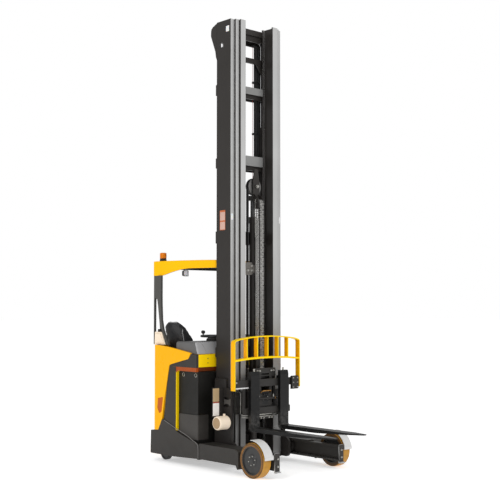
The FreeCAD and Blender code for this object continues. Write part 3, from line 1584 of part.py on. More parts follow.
def free_lift_cylinder():
    """Middle cylinder on the inner stage, with the chain's anchor sheath and the hose pipes."""
    base = stage_bottom_z(INNER) + 20.0
    outer = FREE_LIFT_RADIUS
    bore = FREE_LIFT_ROD_RADIUS + 5.0
    gland = FREE_LIFT_ROD_RADIUS + 0.05
    tube = turned_z(
        [
            (base, 0.0),
            (base, outer + 14.0),
            (base + 16.0, outer + 14.0),
            (base + 20.0, outer),
            (FREE_TUBE_TOP_Z - 70.0, outer),
            (FREE_TUBE_TOP_Z - 70.0, outer + 4.0),
            (FREE_TUBE_TOP_Z, outer + 4.0),
            (FREE_TUBE_TOP_Z, gland),
            (FREE_TUBE_TOP_Z - 70.0, gland),
            (FREE_TUBE_TOP_Z - 70.0, bore),
            (base + 40.0, bore),
            (base + 40.0, 0.0),
        ],
        FREE_LIFT_X,
        0.0,
    )
    chain_rear_x = 2.0 * SHEAVE_X - CHAIN_FRONT_X
    anchor_low_z = CHAIN_ANCHOR_Z - ANCHOR_DEPTH
    pocket_x = CHAIN_THICKNESS / 2.0 + 1.0
    pocket_y = CHAIN_WIDTH / 2.0 + 1.0
    anchor = box(
        FREE_LIFT_X + 36.0, chain_rear_x + pocket_x + ANCHOR_WALL,
        -pocket_y - ANCHOR_WALL, pocket_y + ANCHOR_WALL, anchor_low_z, CHAIN_ANCHOR_Z - SEAT_GAP,
    )
    pocket = box(
        chain_rear_x - pocket_x, chain_rear_x + pocket_x, -pocket_y, pocket_y,
        anchor_low_z + ANCHOR_WALL, CHAIN_ANCHOR_Z,
    )
    clamp = box(
        HOSE_X[1] - 16.0, HOSE_X[0] + 16.0, 30.0, HOSE_SPREAD_Y + 16.0,
        CHAIN_ANCHOR_Z - 40.0, CHAIN_ANCHOR_Z - SEAT_GAP,
    )
    pipes = [
        rod(12.0, (x, HOSE_SPREAD_Y, anchor_low_z), (x, HOSE_SPREAD_Y, CHAIN_ANCHOR_Z - SEAT_GAP))
        for x in HOSE_X
    ]
    pipe_bores = [
        rod(HOSE_RADIUS + SEAT_GAP, (x, HOSE_SPREAD_Y, anchor_low_z + 4.0), (x, HOSE_SPREAD_Y, CHAIN_ANCHOR_Z))
        for x in HOSE_X
    ]
    bore_hole = rod(bore, (FREE_LIFT_X, 0, base + 40.0), (FREE_LIFT_X, 0, FREE_TUBE_TOP_Z - 70.0))
    cross_z0, cross_z1 = INNER_CROSS_Z[2]
    rear_face = stage_rear_x(INNER) + RAIL_FLANGE - 1.0
    stay = box(
        rear_face + SEAT_GAP, FREE_LIFT_X - 30.0, -30.0, 30.0, cross_z0 + 20.0, cross_z1 - 20.0
    )
    whole = joined([tube, anchor, clamp, stay] + pipes)
    for hollow in [bore_hole, pocket] + pipe_bores:
        whole = whole.cut(hollow)
    return whole


SHEAVE_X = CHAIN_FRONT_X - CHAIN_PITCH_RADIUS
PULLEY_Z = 3000.0
HEAD_BLOCK_Z = (2850.0, 2902.0)


def free_lift_head():
    """Rod head: block, crosshead plate with the pulley axle, and the cheeks for the sheave."""
    block = plan_plate(
        [
            (FREE_LIFT_X - 40.0, -44.0, 12),
            (FREE_LIFT_X - 40.0, 44.0, 12),
            (FREE_LIFT_X + 43.0, 44.0, 0),
            (FREE_LIFT_X + 43.0, -44.0, 0),
        ],
        HEAD_BLOCK_Z[0],
        HEAD_BLOCK_Z[1],
    )
    piston_rod = rod(
        FREE_LIFT_ROD_RADIUS, (FREE_LIFT_X, 0, 350.0), (FREE_LIFT_X, 0, HEAD_BLOCK_Z[0] + 2.0)
    )
    plate_x = FREE_LIFT_X + 43.0
    plate = front_plate(
        [
            (-46.0, 2836.0, 8),
            (-46.0, 3060.0, 30),
            (-24.0, 3190.0, 14),
            (24.0, 3190.0, 14),
            (46.0, 3060.0, 30),
            (46.0, 2836.0, 8),
        ],
        plate_x,
        plate_x + 12.0,
    )
    axle = rod(14.0, (FREE_LIFT_X - 36.0, 0, PULLEY_Z), (plate_x + 24.0, 0, PULLEY_Z))
    cheeks = []
    for y in (-40.0, 31.0):
        cheeks.append(
            side_plate(
                [
                    (plate_x + 12.0, 2838.0, 0),
                    (plate_x + 12.0, 2920.0, 0),
                    (SHEAVE_X + 22.0, 2868.0, 24),
                    (SHEAVE_X + 30.0, 2752.0, 26),
                    (SHEAVE_X - 30.0, 2752.0, 26),
                    (SHEAVE_X - 34.0, 2838.0, 0),
                ],
                y,
                y + 9.0,
            )
        )
    sheave_pin = rod(11.95, (SHEAVE_X, -44.0, HEAD_SHEAVE_Z), (SHEAVE_X, 44.0, HEAD_SHEAVE_Z))
    return joined([block, piston_rod, plate, axle, sheave_pin] + cheeks)


def chain_sheave():
    """Grooved wheel that the lift chain runs over."""
    groove = CHAIN_PITCH_RADIUS - CHAIN_THICKNESS / 2.0
    half = CHAIN_WIDTH / 2.0
    profile = [
        (-half - 4.5, 12.0),
        (-half - 4.5, groove + 18.0),
        (-half - 2.0, groove + 18.0),
        (-half - 1.0, groove),
        (half + 1.0, groove),
        (half + 2.0, groove + 18.0),
        (half + 4.5, groove + 18.0),
        (half + 4.5, 12.0),
    ]
    return turned_y(profile, SHEAVE_X, HEAD_SHEAVE_Z)


def hose_pulley():
    """Twin-groove pulley for the hoses, across the truck on the crosshead's axle."""
    groove = HOSE_SPREAD_Y - HOSE_RADIUS - SEAT_GAP
    rim = groove + 13.0
    side = HOSE_RADIUS + 1.0
    back, front = HOSE_X[1], HOSE_X[0]
    profile = [
        (back - side - 4.0, 14.05),
        (back - side - 4.0, rim),
        (back - side, rim),
        (back - side, groove),
        (back + side, groove),
        (back + side, rim - 6.0),
        (front - side, rim - 6.0),
        (front - side, groove),
        (front + side, groove),
        (front + side, rim),
        (front + side + 4.0, rim),
        (front + side + 4.0, 14.05),
    ]
    points = [FreeCAD.Vector(x, 0, PULLEY_Z + radius) for x, radius in profile]
    face = Part.Face(Part.makePolygon(points + [points[0]]))
    return face.revolve(FreeCAD.Vector(0, 0, PULLEY_Z), FreeCAD.Vector(1, 0, 0), 360)


CARRIAGE_ANCHOR_TOP_Z = 1030.0


def lift_chain():
    """Front strand of the free-lift chain, from the carriage anchor up to the sheave."""
    half = CHAIN_WIDTH / 2.0
    return box(
        CHAIN_FRONT_X - CHAIN_THICKNESS / 2.0 + SEAT_GAP, CHAIN_FRONT_X + CHAIN_THICKNESS / 2.0,
        -half, half, CARRIAGE_ANCHOR_TOP_Z + SEAT_GAP, HEAD_SHEAVE_Z,
    )


def chain_rear():
    """Rear strand of the chain, from the sheave down to its anchor on the cylinder."""
    half = CHAIN_WIDTH / 2.0
    x = 2.0 * SHEAVE_X - CHAIN_FRONT_X
    return box(
        x - CHAIN_THICKNESS / 2.0, x + CHAIN_THICKNESS / 2.0 - SEAT_GAP, -half, half,
        CHAIN_ANCHOR_Z, HEAD_SHEAVE_Z,
    )


def hoses(side, low_z):
    """Two hoses side by side, from a fitting up to the pulley."""
    return [
        rod(HOSE_RADIUS, (x, side * HOSE_SPREAD_Y, low_z), (x, side * HOSE_SPREAD_Y, PULLEY_Z))
        for x in HOSE_X
    ]


# ---------------------------------------------------------------- reach carriage

LABEL_BRACKET_X = OUTER_FRONT_X - 72.0


def reach_carriage():
    """Side plates with the rollers that run in the legs, joined by the mast's foot plate."""
    y0 = REACH_PLATE_Y
    y1 = y0 + REACH_PLATE_THICKNESS
    rear = OUTER_FIN_X + 4.0
    outline = [
        (rear, 62.0, 12),
        (REACH_ROLLER_X[1] + 74.0, 62.0, 46),
        (REACH_ROLLER_X[1] + 74.0, 236.0, 50),
        (OUTER_FRONT_X + 45.0, 300.0, 60),
        (OUTER_FRONT_X + 45.0, 835.0, 46),
        (OUTER_FRONT_X - 43.0, 835.0, 10),
        (OUTER_FRONT_X - 43.0, 933.0, 14),
        (rear + 5.0, 933.0, 14),
        (rear, 826.0, 0),
    ]
    window = side_plate(
        [
            (OUTER_FRONT_X - 88.0, 640.0, 12),
            (OUTER_FRONT_X - 8.0, 640.0, 12),
            (OUTER_FRONT_X - 8.0, 740.0, 12),
            (OUTER_FRONT_X - 88.0, 740.0, 12),
        ],
        y0 - 1.0,
        y1 + 1.0,
    )
    plate = side_plate(outline, y0, y1).cut(window)
    pieces = [plate]
    for x in REACH_ROLLER_X:
        roller = turned_y(
            [
                (LEG_TIP_Y + 6.0, 0.0),
                (LEG_TIP_Y + 6.0, REACH_ROLLER_RADIUS - 6.0),
                (LEG_TIP_Y + 9.0, REACH_ROLLER_RADIUS),
                (LEG_WEB_INNER_Y - 6.0, REACH_ROLLER_RADIUS),
                (LEG_WEB_INNER_Y - 3.0, REACH_ROLLER_RADIUS - 5.0),
                (LEG_WEB_INNER_Y - 3.0, 20.0),
                (LEG_WEB_INNER_Y - 8.0, 16.0),
                (LEG_WEB_INNER_Y - 8.0, 0.0),
            ],
            x,
            REACH_ROLLER_Z,
        )
        pin = rod(26.0, (x, y0, REACH_ROLLER_Z), (x, LEG_TIP_Y + 8.0, REACH_ROLLER_Z))
        pieces.extend([roller, pin])
    pieces = pieces + [mirrored(piece) for piece in pieces]
    foot = plan_plate(
        [
            (rear, -y0 - 4.0, 0),
            (rear, y0 + 4.0, 0),
            (OUTER_FRONT_X + 16.0, y0 + 4.0, 0),
            (OUTER_FRONT_X + 52.0, 250.0, 60),
            (OUTER_FRONT_X + 52.0, -250.0, 60),
            (OUTER_FRONT_X + 16.0, -y0 - 4.0, 0),
        ],
        62.0,
        OUTER_BOTTOM_Z,
    )
    rod_lug = box(
        OUTER_FIN_X - 14.0, OUTER_FIN_X + 16.0, REACH_CYLINDER_Y - 26.0, REACH_CYLINDER_Y + 26.0,
        OUTER_BOTTOM_Z - 23.0, 119.0,
    )
    bracket = box(
        LABEL_BRACKET_X - 8.0, LABEL_BRACKET_X, -(y1 + 158.0), -y1 + 1.0, 540.0, 846.0
    )
    bracket_rib = side_plate(
        [
            (LABEL_BRACKET_X - 60.0, 560.0, 0),
            (LABEL_BRACKET_X - 8.0, 545.0, 0),
            (LABEL_BRACKET_X - 8.0, 840.0, 0),
            (LABEL_BRACKET_X - 60.0, 800.0, 20),
        ],
        -(y1 + 60.0),
        -(y1 + 52.0),
    )
    bracket_arm = side_plate(
        [
            (OUTER_FRONT_X - 60.0, 664.0, 0),
            (OUTER_FRONT_X - 36.0, 674.0, 30),
            (OUTER_FRONT_X + 8.0, 672.0, 30),
            (OUTER_FRONT_X + 43.0, 652.0, 6),
            (OUTER_FRONT_X + 43.0, 734.0, 6),
            (OUTER_FRONT_X + 8.0, 718.0, 30),
            (OUTER_FRONT_X - 36.0, 716.0, 30),
            (OUTER_FRONT_X - 60.0, 727.0, 0),
        ],
        -(y1 + 10.0),
        -y1 + 1.0,
    )
    return joined(pieces + [foot, rod_lug, bracket, bracket_rib, bracket_arm])


REACH_TUBE_X = (-1524.0, -905.0)
REACH_ROD_RADIUS = 17.5


def reach_cylinder():
    """Tube of the reach cylinder, held at its rear end by a lug under the drive plate."""
    z = REACH_CYLINDER_Z
    y = REACH_CYLINDER_Y
    x0, x1 = REACH_TUBE_X
    tube = rod(REACH_CYLINDER_RADIUS, (x0, y, z), (x1, y, z))
    tube = tube.cut(rod(REACH_CYLINDER_RADIUS - 7.0, (x0 + 24.0, y, z), (x1 - 40.0, y, z)))
    tube = tube.cut(rod(REACH_ROD_RADIUS + 0.05, (x1 - 60.0, y, z), (x1 + 5.0, y, z)))
    collar = rod(REACH_CYLINDER_RADIUS + 4.0, (x1 - 36.0, y, z), (x1, y, z))
    collar = collar.cut(rod(REACH_ROD_RADIUS + 0.05, (x1 - 60.0, y, z), (x1 + 5.0, y, z)))
    lug = box(x0 - 16.0, x0, y - 26.0, y + 26.0, z - 24.0, DRIVE_PLATE_Z - SEAT_GAP)
    return joined([tube, collar, lug])


def reach_rod():
    """Rod that pushes the mast: from inside the tube to the lowest tie behind the rails."""
    z = REACH_CYLINDER_Z
    y = REACH_CYLINDER_Y
    tie_x = OUTER_FIN_X - 14.0
    piston_x = REACH_TUBE_X[1] - REACH_STROKE - 15.0
    return rod(REACH_ROD_RADIUS, (piston_x, y, z), (tie_x + 2.0, y, z))


ACCUMULATOR_RADIUS = 71.5


def accumulator():
    """Cream pressure vessel lying across the truck beside the mast, with its end fittings."""
    x = OUTER_FRONT_X
    z = 484.0
    inner = REACH_PLATE_Y + REACH_PLATE_THICKNESS + SEAT_GAP
    outer = inner + 166.0
    profile = [
        (inner + 14.0, 0.0),
        (inner + 14.0, 52.0),
        (inner + 24.0, ACCUMULATOR_RADIUS - 6.0),
        (inner + 34.0, ACCUMULATOR_RADIUS),
        (outer - 14.0, ACCUMULATOR_RADIUS),
        (outer - 4.0, ACCUMULATOR_RADIUS - 4.0),
        (outer, ACCUMULATOR_RADIUS - 14.0),
        (outer, 0.0),
    ]
    vessel = turned_y(profile, x, z)
    stub = rod(24.0, (x, inner, z), (x, inner + 16.0, z))
    nub = rod(13.0, (x, inner + 60.0, z + ACCUMULATOR_RADIUS - 10.0), (x, inner + 60.0, z + ACCUMULATOR_RADIUS + 20.0))
    return mirrored(joined([vessel, stub, nub]))


# ---------------------------------------------------------------- fork carriage

CARRIAGE_UPPER_Z = (930.0, 985.0)
CARRIAGE_LOWER_Z = (570.0, 660.0)
TILT_CYLINDER_Z = 620.0
TILT_CYLINDER_Y = 70.0


def fork_carriage():
    """Carriage that climbs the inner rails: side plates with rollers and two cross plates."""
    y0 = CARRIAGE_PLATE_Y
    y1 = y0 + CARRIAGE_PLATE_THICKNESS
    pieces = []
    plate = side_plate(
        [
            (CARRIAGE_REAR_X + 20.0, 556.0, 20),
            (CARRIAGE_FRONT_X, 556.0, 20),
            (CARRIAGE_FRONT_X, CARRIAGE_UPPER_Z[1] + 10.0, 20),
            (CARRIAGE_REAR_X, CARRIAGE_UPPER_Z[1] + 20.0, 40),
            (CARRIAGE_REAR_X, 880.0, 30),
            (CARRIAGE_REAR_X + 50.0, 820.0, 60),
            (CARRIAGE_REAR_X + 50.0, 740.0, 60),
            (CARRIAGE_REAR_X, 690.0, 30),
            (CARRIAGE_REAR_X, 600.0, 30),
        ],
        y0,
        y1,
    )
    pieces.append(plate)
    web = stage_web_inner(INNER)
    roller_x = stage_front_x(INNER) - RAIL_DEPTH / 2.0
    for z in CARRIAGE_ROLLER_Z:
        pieces.append(
            turned_y(
                [
                    (y1 + 3.0, 0.0),
                    (y1 + 3.0, ROLLER_RADIUS - 6.0),
                    (y1 + 6.0, ROLLER_RADIUS),
                    (web - 5.0, ROLLER_RADIUS),
                    (web - 2.0, ROLLER_RADIUS - 5.0),
                    (web - 2.0, 0.0),
                ],
                roller_x,
                z,
            )
        )
        pieces.append(rod(22.0, (roller_x, y1 - 2.0, z), (roller_x, y1 + 4.0, z)))
    pieces = pieces + [mirrored(piece) for piece in pieces]
    upper = box(CARRIAGE_FRONT_X - 28.0, CARRIAGE_FRONT_X + 2.0, -y0 - 1.0, y0 + 1.0, *CARRIAGE_UPPER_Z)
    lower = box(CARRIAGE_FRONT_X - 28.0, CARRIAGE_FRONT_X, -y0 - 1.0, y0 + 1.0, *CARRIAGE_LOWER_Z)
    anchor = box(
        CHAIN_FRONT_X - 13.0, CHAIN_FRONT_X + 11.0, -CHAIN_WIDTH / 2.0 - 2.0, CHAIN_WIDTH / 2.0 + 2.0,
        CARRIAGE_UPPER_Z[1] - 1.0, CARRIAGE_ANCHOR_TOP_Z,
    )
    hose_ledge = box(
        HOSE_X[1] - 14.0, HOSE_X[0] + 14.0, -y0 - 1.0, -HOSE_SPREAD_Y + 16.0,
        CARRIAGE_UPPER_Z[1] - 20.0, CARRIAGE_UPPER_Z[1],
    )
    ears = []
    for e0, e1 in ((97.0, 122.0), (-122.0, -97.0)):
        ears.append(
            side_plate(
                [
                    (CARRIAGE_FRONT_X - 6.0, TILT_PIVOT_Z - 20.0, 0),
                    (TILT_PIVOT_X + 16.0, TILT_PIVOT_Z - 20.0, 15),
                    (TILT_PIVOT_X + 16.0, TILT_PIVOT_Z + 20.0, 15),
                    (CARRIAGE_FRONT_X - 6.0, TILT_PIVOT_Z + 42.0, 0),
                    (CARRIAGE_FRONT_X - 28.0, TILT_PIVOT_Z + 42.0, 0),
                ],
                e0,
                e1,
            )
        )
        pin_in = 58.0 if e0 > 0 else -58.0
        pin_out = e1 + 5.0 if e0 > 0 else e0 - 5.0
        ears.append(rod(11.95, (TILT_PIVOT_X, pin_in, TILT_PIVOT_Z), (TILT_PIVOT_X, pin_out, TILT_PIVOT_Z)))
    barrels = []
    for y in (-TILT_CYLINDER_Y, TILT_CYLINDER_Y):
        barrels.append(
            rod(31.0, (CARRIAGE_FRONT_X - 86.0, y, TILT_CYLINDER_Z), (CARRIAGE_FRONT_X, y, TILT_CYLINDER_Z))
        )
    whole = joined(pieces + [upper, lower, anchor, hose_ledge] + ears + barrels)
    for y in (-TILT_CYLINDER_Y, TILT_CYLINDER_Y):
        bore = rod(
            22.0, (CARRIAGE_FRONT_X - 76.0, y, TILT_CYLINDER_Z), (CARRIAGE_FRONT_X + 5.0, y, TILT_CYLINDER_Z)
        )
        whole = whole.cut(bore)
    return whole


TILT_FACE_X = FORK_BAR_BACK_X - 0.5
TILT_BACK_X = CARRIAGE_FRONT_X + 20.0
SHIFT_CYLINDER_X = TILT_FACE_X + 14.3
SHIFT_CYLINDER_Z = 720.0


def tilt_frame():
    """Tilting frame: two posts on the pivot, slotted head plate, side-shift cylinder barrel."""
    posts = []
    for p0, p1 in ((60.0, 95.0), (-95.0, -60.0)):
        post = side_plate(
            [
                (TILT_BACK_X, 520.0, 10),
                (TILT_FACE_X, 520.0, 10),
                (TILT_FACE_X, 1000.0, 0),
                (TILT_BACK_X, 1000.0, 0),
                (TILT_BACK_X, TILT_PIVOT_Z + 20.0, 0),
                (TILT_PIVOT_X - 10.0, TILT_PIVOT_Z + 18.0, 7),
                (TILT_PIVOT_X - 16.0, TILT_PIVOT_Z, 10),
                (TILT_PIVOT_X - 10.0, TILT_PIVOT_Z - 18.0, 7),
                (TILT_BACK_X, TILT_PIVOT_Z - 20.0, 0),
            ],
            p0,
            p1,
        )
        bore = rod(12.0, (TILT_PIVOT_X, p0 - 1.0, TILT_PIVOT_Z), (TILT_PIVOT_X, p1 + 1.0, TILT_PIVOT_Z))
        posts.append(post.cut(bore))
    head = front_plate(
        [
            (-150.0, 955.0, 8), (-150.0, 1040.0, 14), (150.0, 1040.0, 14), (150.0, 955.0, 8),
        ],
        TILT_BACK_X,
        TILT_FACE_X,
    )
    slot = box(TILT_BACK_X - 5.0, TILT_FACE_X + 5.0, -58.0, 58.0, 968.0, 984.0)
    head = head.cut(slot)
    middle = box(TILT_BACK_X, TILT_FACE_X, -96.0, 96.0, 640.0, 800.0)
    window = box(TILT_BACK_X - 5.0, TILT_FACE_X + 5.0, -44.0, 44.0, 655.0, 785.0)
    middle = middle.cut(window)
    foot = box(TILT_BACK_X, TILT_FACE_X + 14.0, -96.0, 96.0, 507.0, 528.0)
    barrel_half = 118.0
    barrel = rod(14.0, (SHIFT_CYLINDER_X, -barrel_half, SHIFT_CYLINDER_Z),
                 (SHIFT_CYLINDER_X, barrel_half, SHIFT_CYLINDER_Z))
    saddles = [
        box(TILT_FACE_X - 1.0, SHIFT_CYLINDER_X, y, y + 20.0, SHIFT_CYLINDER_Z - 13.0, SHIFT_CYLINDER_Z + 13.0)
        for y in (-90.0, 70.0)
    ]
    rods = []
    for y in (-TILT_CYLINDER_Y, TILT_CYLINDER_Y):
        rods.append(
            rod(13.0, (CARRIAGE_FRONT_X - 40.0, y, TILT_CYLINDER_Z), (TILT_BACK_X + 2.0, y, TILT_CYLINDER_Z))
        )
    whole = joined(posts + [head, middle, foot, barrel] + saddles + rods)
    return whole.cut(
        rod(8.05, (SHIFT_CYLINDER_X, -barrel_half - 2.0, SHIFT_CYLINDER_Z),
            (SHIFT_CYLINDER_X, barrel_half + 2.0, SHIFT_CYLINDER_Z))
    )


HOOK_LIP = 11.0


def fork_bars():
    """Side-shift frame: upper and lower fork bars, their ties, and the shift cylinder's rod."""
    back = FORK_BAR_BACK_X
    front = back + FORK_BAR_THICKNESS
    upper_z0 = FORK_BAR_TOP_Z - FORK_BAR_HEIGHT
    upper = side_plate(
        [
            (back, upper_z0, 4),
            (front, upper_z0, 4),
            (front, FORK_BAR_TOP_Z, 3),
            (back + HOOK_LIP, FORK_BAR_TOP_Z, 0),
            (back + HOOK_LIP, FORK_BAR_TOP_Z - 24.0, 0),
            (back, FORK_BAR_TOP_Z - 24.0, 0),
        ],
        -FORK_BAR_HALF,
        FORK_BAR_HALF,
    )
    lower_z0, lower_z1 = LOWER_BAR_Z
    lower = side_plate(
        [
            (back + HOOK_LIP, lower_z0, 0),
            (front, lower_z0, 3),
            (front, lower_z1, 4),
            (back, lower_z1, 4),
            (back, lower_z0 + 24.0, 0),
            (back + HOOK_LIP, lower_z0 + 24.0, 0),
        ],
        -LOWER_BAR_HALF,
        LOWER_BAR_HALF,
    )
    ties = []
    for y in (-320.0, -205.0, 205.0, 320.0):
        ties.append(box(back, back + 22.0, y - 12.0, y + 12.0, lower_z1 - 4.0, upper_z0 + 4.0))
    shift_rod = rod(8.0, (SHIFT_CYLINDER_X, -208.0, SHIFT_CYLINDER_Z), (SHIFT_CYLINDER_X, 208.0, SHIFT_CYLINDER_Z))
    return joined([upper, lower, shift_rod] + ties)


def arch_z(y):
    """Upper edge of the load backrest, which rises towards the middle."""
    share = y / BACKREST_HALF
    return BACKREST_MIDDLE_Z - (BACKREST_MIDDLE_Z - BACKREST_END_Z) * share * share


def load_backrest():
    """Yellow load backrest of flat bar on edge, with an arched top rail."""
    x0 = FORK_BAR_BACK_X - 13.7
    x1 = x0 + 60.0
    bar = 12.0
    rail = 27.0
    half = BACKREST_HALF
    outer = [(-half, BACKREST_BOTTOM_Z, 2), (-half, arch_z(half), 46)]
    outer += [(y, arch_z(y), 400) for y in (-330.0, -110.0, 110.0, 330.0)]
    outer += [(half, arch_z(half), 46), (half, BACKREST_BOTTOM_Z, 2)]
    inner_half = half - bar
    inner = [(inner_half, BACKREST_BOTTOM_Z, 0), (inner_half, arch_z(half) - rail, 34)]
    inner += [(y, arch_z(y) - rail, 400) for y in (330.0, 110.0, -110.0, -330.0)]
    inner += [(-inner_half, arch_z(half) - rail, 34), (-inner_half, BACKREST_BOTTOM_Z, 0)]
    frame = front_plate(outer + inner, x0, x1)
    drop = 248.0
    rail_two = [(y, arch_z(y * 0.45) - drop, 0) for y in (-inner_half - 1.0, 0.0, inner_half + 1.0)]
    rail_two += [(y, arch_z(y * 0.45) - drop - 24.0, 0) for y in (inner_half + 1.0, 0.0, -inner_half - 1.0)]
    second = front_plate(rail_two, x0, x1)
    pieces = [frame, second]
    for y in (-298.0, -150.0, 0.0, 150.0, 298.0):
        pieces.append(
            box(x0 + 4.0, x1 - 4.0, y - bar / 2.0, y + bar / 2.0, arch_z(y * 0.45) - drop - 6.0, arch_z(y) - 14.0)
        )
    pieces += both_sides(
        box(x0 + 2.0, FORK_BAR_BACK_X - SEAT_GAP, 416.0, half - 1.0, 838.0, 922.0)
    )
    return joined(pieces)


def fork(side):
    """Forged fork arm: upright with its two hooks, heel bend, blade tapering to the tip."""
    y0 = FORK_INNER_Y
    y1 = y0 + FORK_WIDTH
    back = FORK_FACE_X - FORK_THICKNESS
    blade_bottom = FORK_BLADE_TOP_Z - FORK_THICKNESS
    tip = FORK_FACE_X + FORK_LENGTH
    arm = side_plate(
        [
            (back, blade_bottom, 46),
            (back, FORK_UPRIGHT_TOP_Z, 3),
            (FORK_FACE_X - 10.0, FORK_UPRIGHT_TOP_Z, 10),
            (FORK_FACE_X, FORK_UPRIGHT_TOP_Z - 40.0, 30),
            (FORK_FACE_X, FORK_BLADE_TOP_Z, 16),
            (tip, FORK_BLADE_TOP_Z, 3),
            (tip, FORK_BLADE_TOP_Z - 9.0, 3),
            (tip - 0.55 * FORK_LENGTH, blade_bottom, 400),
        ],
        y0,
        y1,
    )
    plan = plan_plate(
        [
            (back - 1.0, y0, 0),
            (tip - 190.0, y0, 150),
            (tip, y0 + 40.0, 18),
            (tip, y1 - 40.0, 18),
            (tip - 190.0, y1, 150),
            (back - 1.0, y1, 0),
        ],
        blade_bottom - 1.0,
        FORK_UPRIGHT_TOP_Z + 1.0,
    )
    arm = arm.common(plan)
    bar_back = back - FORK_BAR_THICKNESS - SEAT_GAP
    lip = HOOK_LIP - 0.8
    upper_hook = side_plate(
        [
            (bar_back, FORK_BAR_TOP_Z - 22.0, 2),
            (bar_back + lip, FORK_BAR_TOP_Z - 22.0, 2),
            (bar_back + lip, FORK_BAR_TOP_Z + SEAT_GAP, 0),
            (back + 1.0, FORK_BAR_TOP_Z + SEAT_GAP, 0),
            (back + 1.0, FORK_BAR_TOP_Z + 34.0, 0),
            (bar_back, FORK_BAR_TOP_Z + 26.0, 6),
        ],
        y0 + 10.0,
        y1 - 10.0,
    )
    low_z = LOWER_BAR_Z[0]
    lower_hook = side_plate(
        [
            (bar_back, low_z + 22.0, 2),
            (bar_back, low_z - 24.0, 6),
            (back + 1.0, low_z - 30.0, 0),
            (back + 1.0, low_z - SEAT_GAP, 0),
            (bar_back + lip, low_z - SEAT_GAP, 0),
            (bar_back + lip, low_z + 22.0, 2),
        ],
        y0 + 10.0,
        y1 - 10.0,
    )
    return on_side(side, joined([arm, upper_hook, lower_hook]))


# ---------------------------------------------------------------- writing the sub-parts

NODES = {
    "chassis_frame": chassis_frame(),
    "leg_right": leg(RIGHT),
    "leg_left": leg(LEFT),
    "wheel_fenders": [fender(RIGHT), fender(LEFT)],
    "battery": battery(),
    "battery_covers": [battery_side_cover(RIGHT), battery_side_cover(LEFT)],
    "battery_frames": [battery_frame(RIGHT), battery_frame(LEFT)],
    "side_frames": [side_frame(RIGHT), side_frame(LEFT)],
    "side_panel_right": side_panel_right(),
    "side_panel_left": side_panel_left(),
    "rear_cover": rear_cover(),
    "side_lamp": side_lamp(),
    "hood": hood(),
    "front_beam": front_beam(),
    "overhead_guard": overhead_guard(),
    "guard_bars": guard_bars(),
    "guard_posts": [guard_rear_post(RIGHT), guard_rear_post(LEFT)] + guard_front_posts(),
    "post_feet": [post_foot(RIGHT), post_foot(LEFT)],
    "beacon": beacon(),
    "work_lamp": work_lamp(),
    "seat_box": seat_box(),
    "seat_base": joined([seat_suspension(), seat_pan()]),
    "seat_cushion": seat_cushion(),
    "seat_back": seat_back(),
    "floor_and_pedals": joined([floor_plate()] + pedals()),
    "steering_wheel": steering_wheel(),
    "control_console": control_console(),
    "reach_cylinder": reach_cylinder(),
    "load_hub_right": load_hub(RIGHT),
    "load_tread_right": load_tread(RIGHT),
    "load_hub_left": load_hub(LEFT),
    "load_tread_left": load_tread(LEFT),
    "drive_unit": drive_unit(),
    "drive_wheel": drive_wheel(),
    "caster_fork": caster_fork(),
    "caster_wheel": caster_wheel(),
    "outer_rails": both_sides(outer_rail()),
    "outer_crossmembers": outer_crossmembers(),
    "reach_carriage": reach_carriage(),
    "lift_cylinders": lift_cylinders(),
    "accumulator": accumulator(),
    "middle_rails": both_sides(inner_stage_rail(MIDDLE)),
    "middle_crossmembers": middle_crossmembers(),
    "inner_rails": both_sides(inner_stage_rail(INNER)),
    "inner_crossmembers": inner_crossmembers(),
    "free_lift_cylinder": free_lift_cylinder(),
    "chain_rear": chain_rear(),
    "hose_rear": hoses(LEFT, CHAIN_ANCHOR_Z),
    "free_lift_head": free_lift_head(),
    "head_pulleys": [chain_sheave(), hose_pulley()],
    "fork_carriage": fork_carriage(),
    "lift_chain": lift_chain(),
    "hose_front": hoses(RIGHT, CARRIAGE_UPPER_Z[1]),
    "tilt_frame": tilt_frame(),
    "fork_bars": fork_bars(),
    "load_backrest": load_backrest(),
    "fork_right": fork(RIGHT),
    "fork_left": fork(LEFT),
}

for node_name, shape in NODES.items():
    save(node_name, shape)
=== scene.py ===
import bmesh
import bpy
import math
from mathutils import Matrix, Vector


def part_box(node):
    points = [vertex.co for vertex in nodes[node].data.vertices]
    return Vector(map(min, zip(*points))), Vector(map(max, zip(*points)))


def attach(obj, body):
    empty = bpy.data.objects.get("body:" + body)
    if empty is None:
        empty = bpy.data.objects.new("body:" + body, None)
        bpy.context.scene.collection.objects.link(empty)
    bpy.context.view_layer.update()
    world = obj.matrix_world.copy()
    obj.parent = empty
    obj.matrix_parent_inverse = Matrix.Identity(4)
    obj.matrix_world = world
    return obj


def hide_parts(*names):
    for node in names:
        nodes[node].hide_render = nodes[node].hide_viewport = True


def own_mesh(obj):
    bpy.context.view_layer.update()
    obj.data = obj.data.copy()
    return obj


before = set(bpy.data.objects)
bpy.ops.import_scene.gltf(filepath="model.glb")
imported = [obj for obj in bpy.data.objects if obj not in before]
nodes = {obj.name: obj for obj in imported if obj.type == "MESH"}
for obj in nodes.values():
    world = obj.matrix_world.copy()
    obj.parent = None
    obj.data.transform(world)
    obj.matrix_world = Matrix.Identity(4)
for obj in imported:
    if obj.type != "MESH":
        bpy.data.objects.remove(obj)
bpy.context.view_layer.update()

# ------------------------------------------------------------------------------------ camera
# Stands a good ten metres off the truck's right front corner, a little below an adult's eye
# height, and looks slightly up, so that the load wheel is low in the frame and the mast tall.


def new_object(name, data):
    """Object with its data, put into the scene."""
    thing = bpy.data.objects.new(name, data)
    bpy.context.scene.collection.objects.link(thing)
    return thing


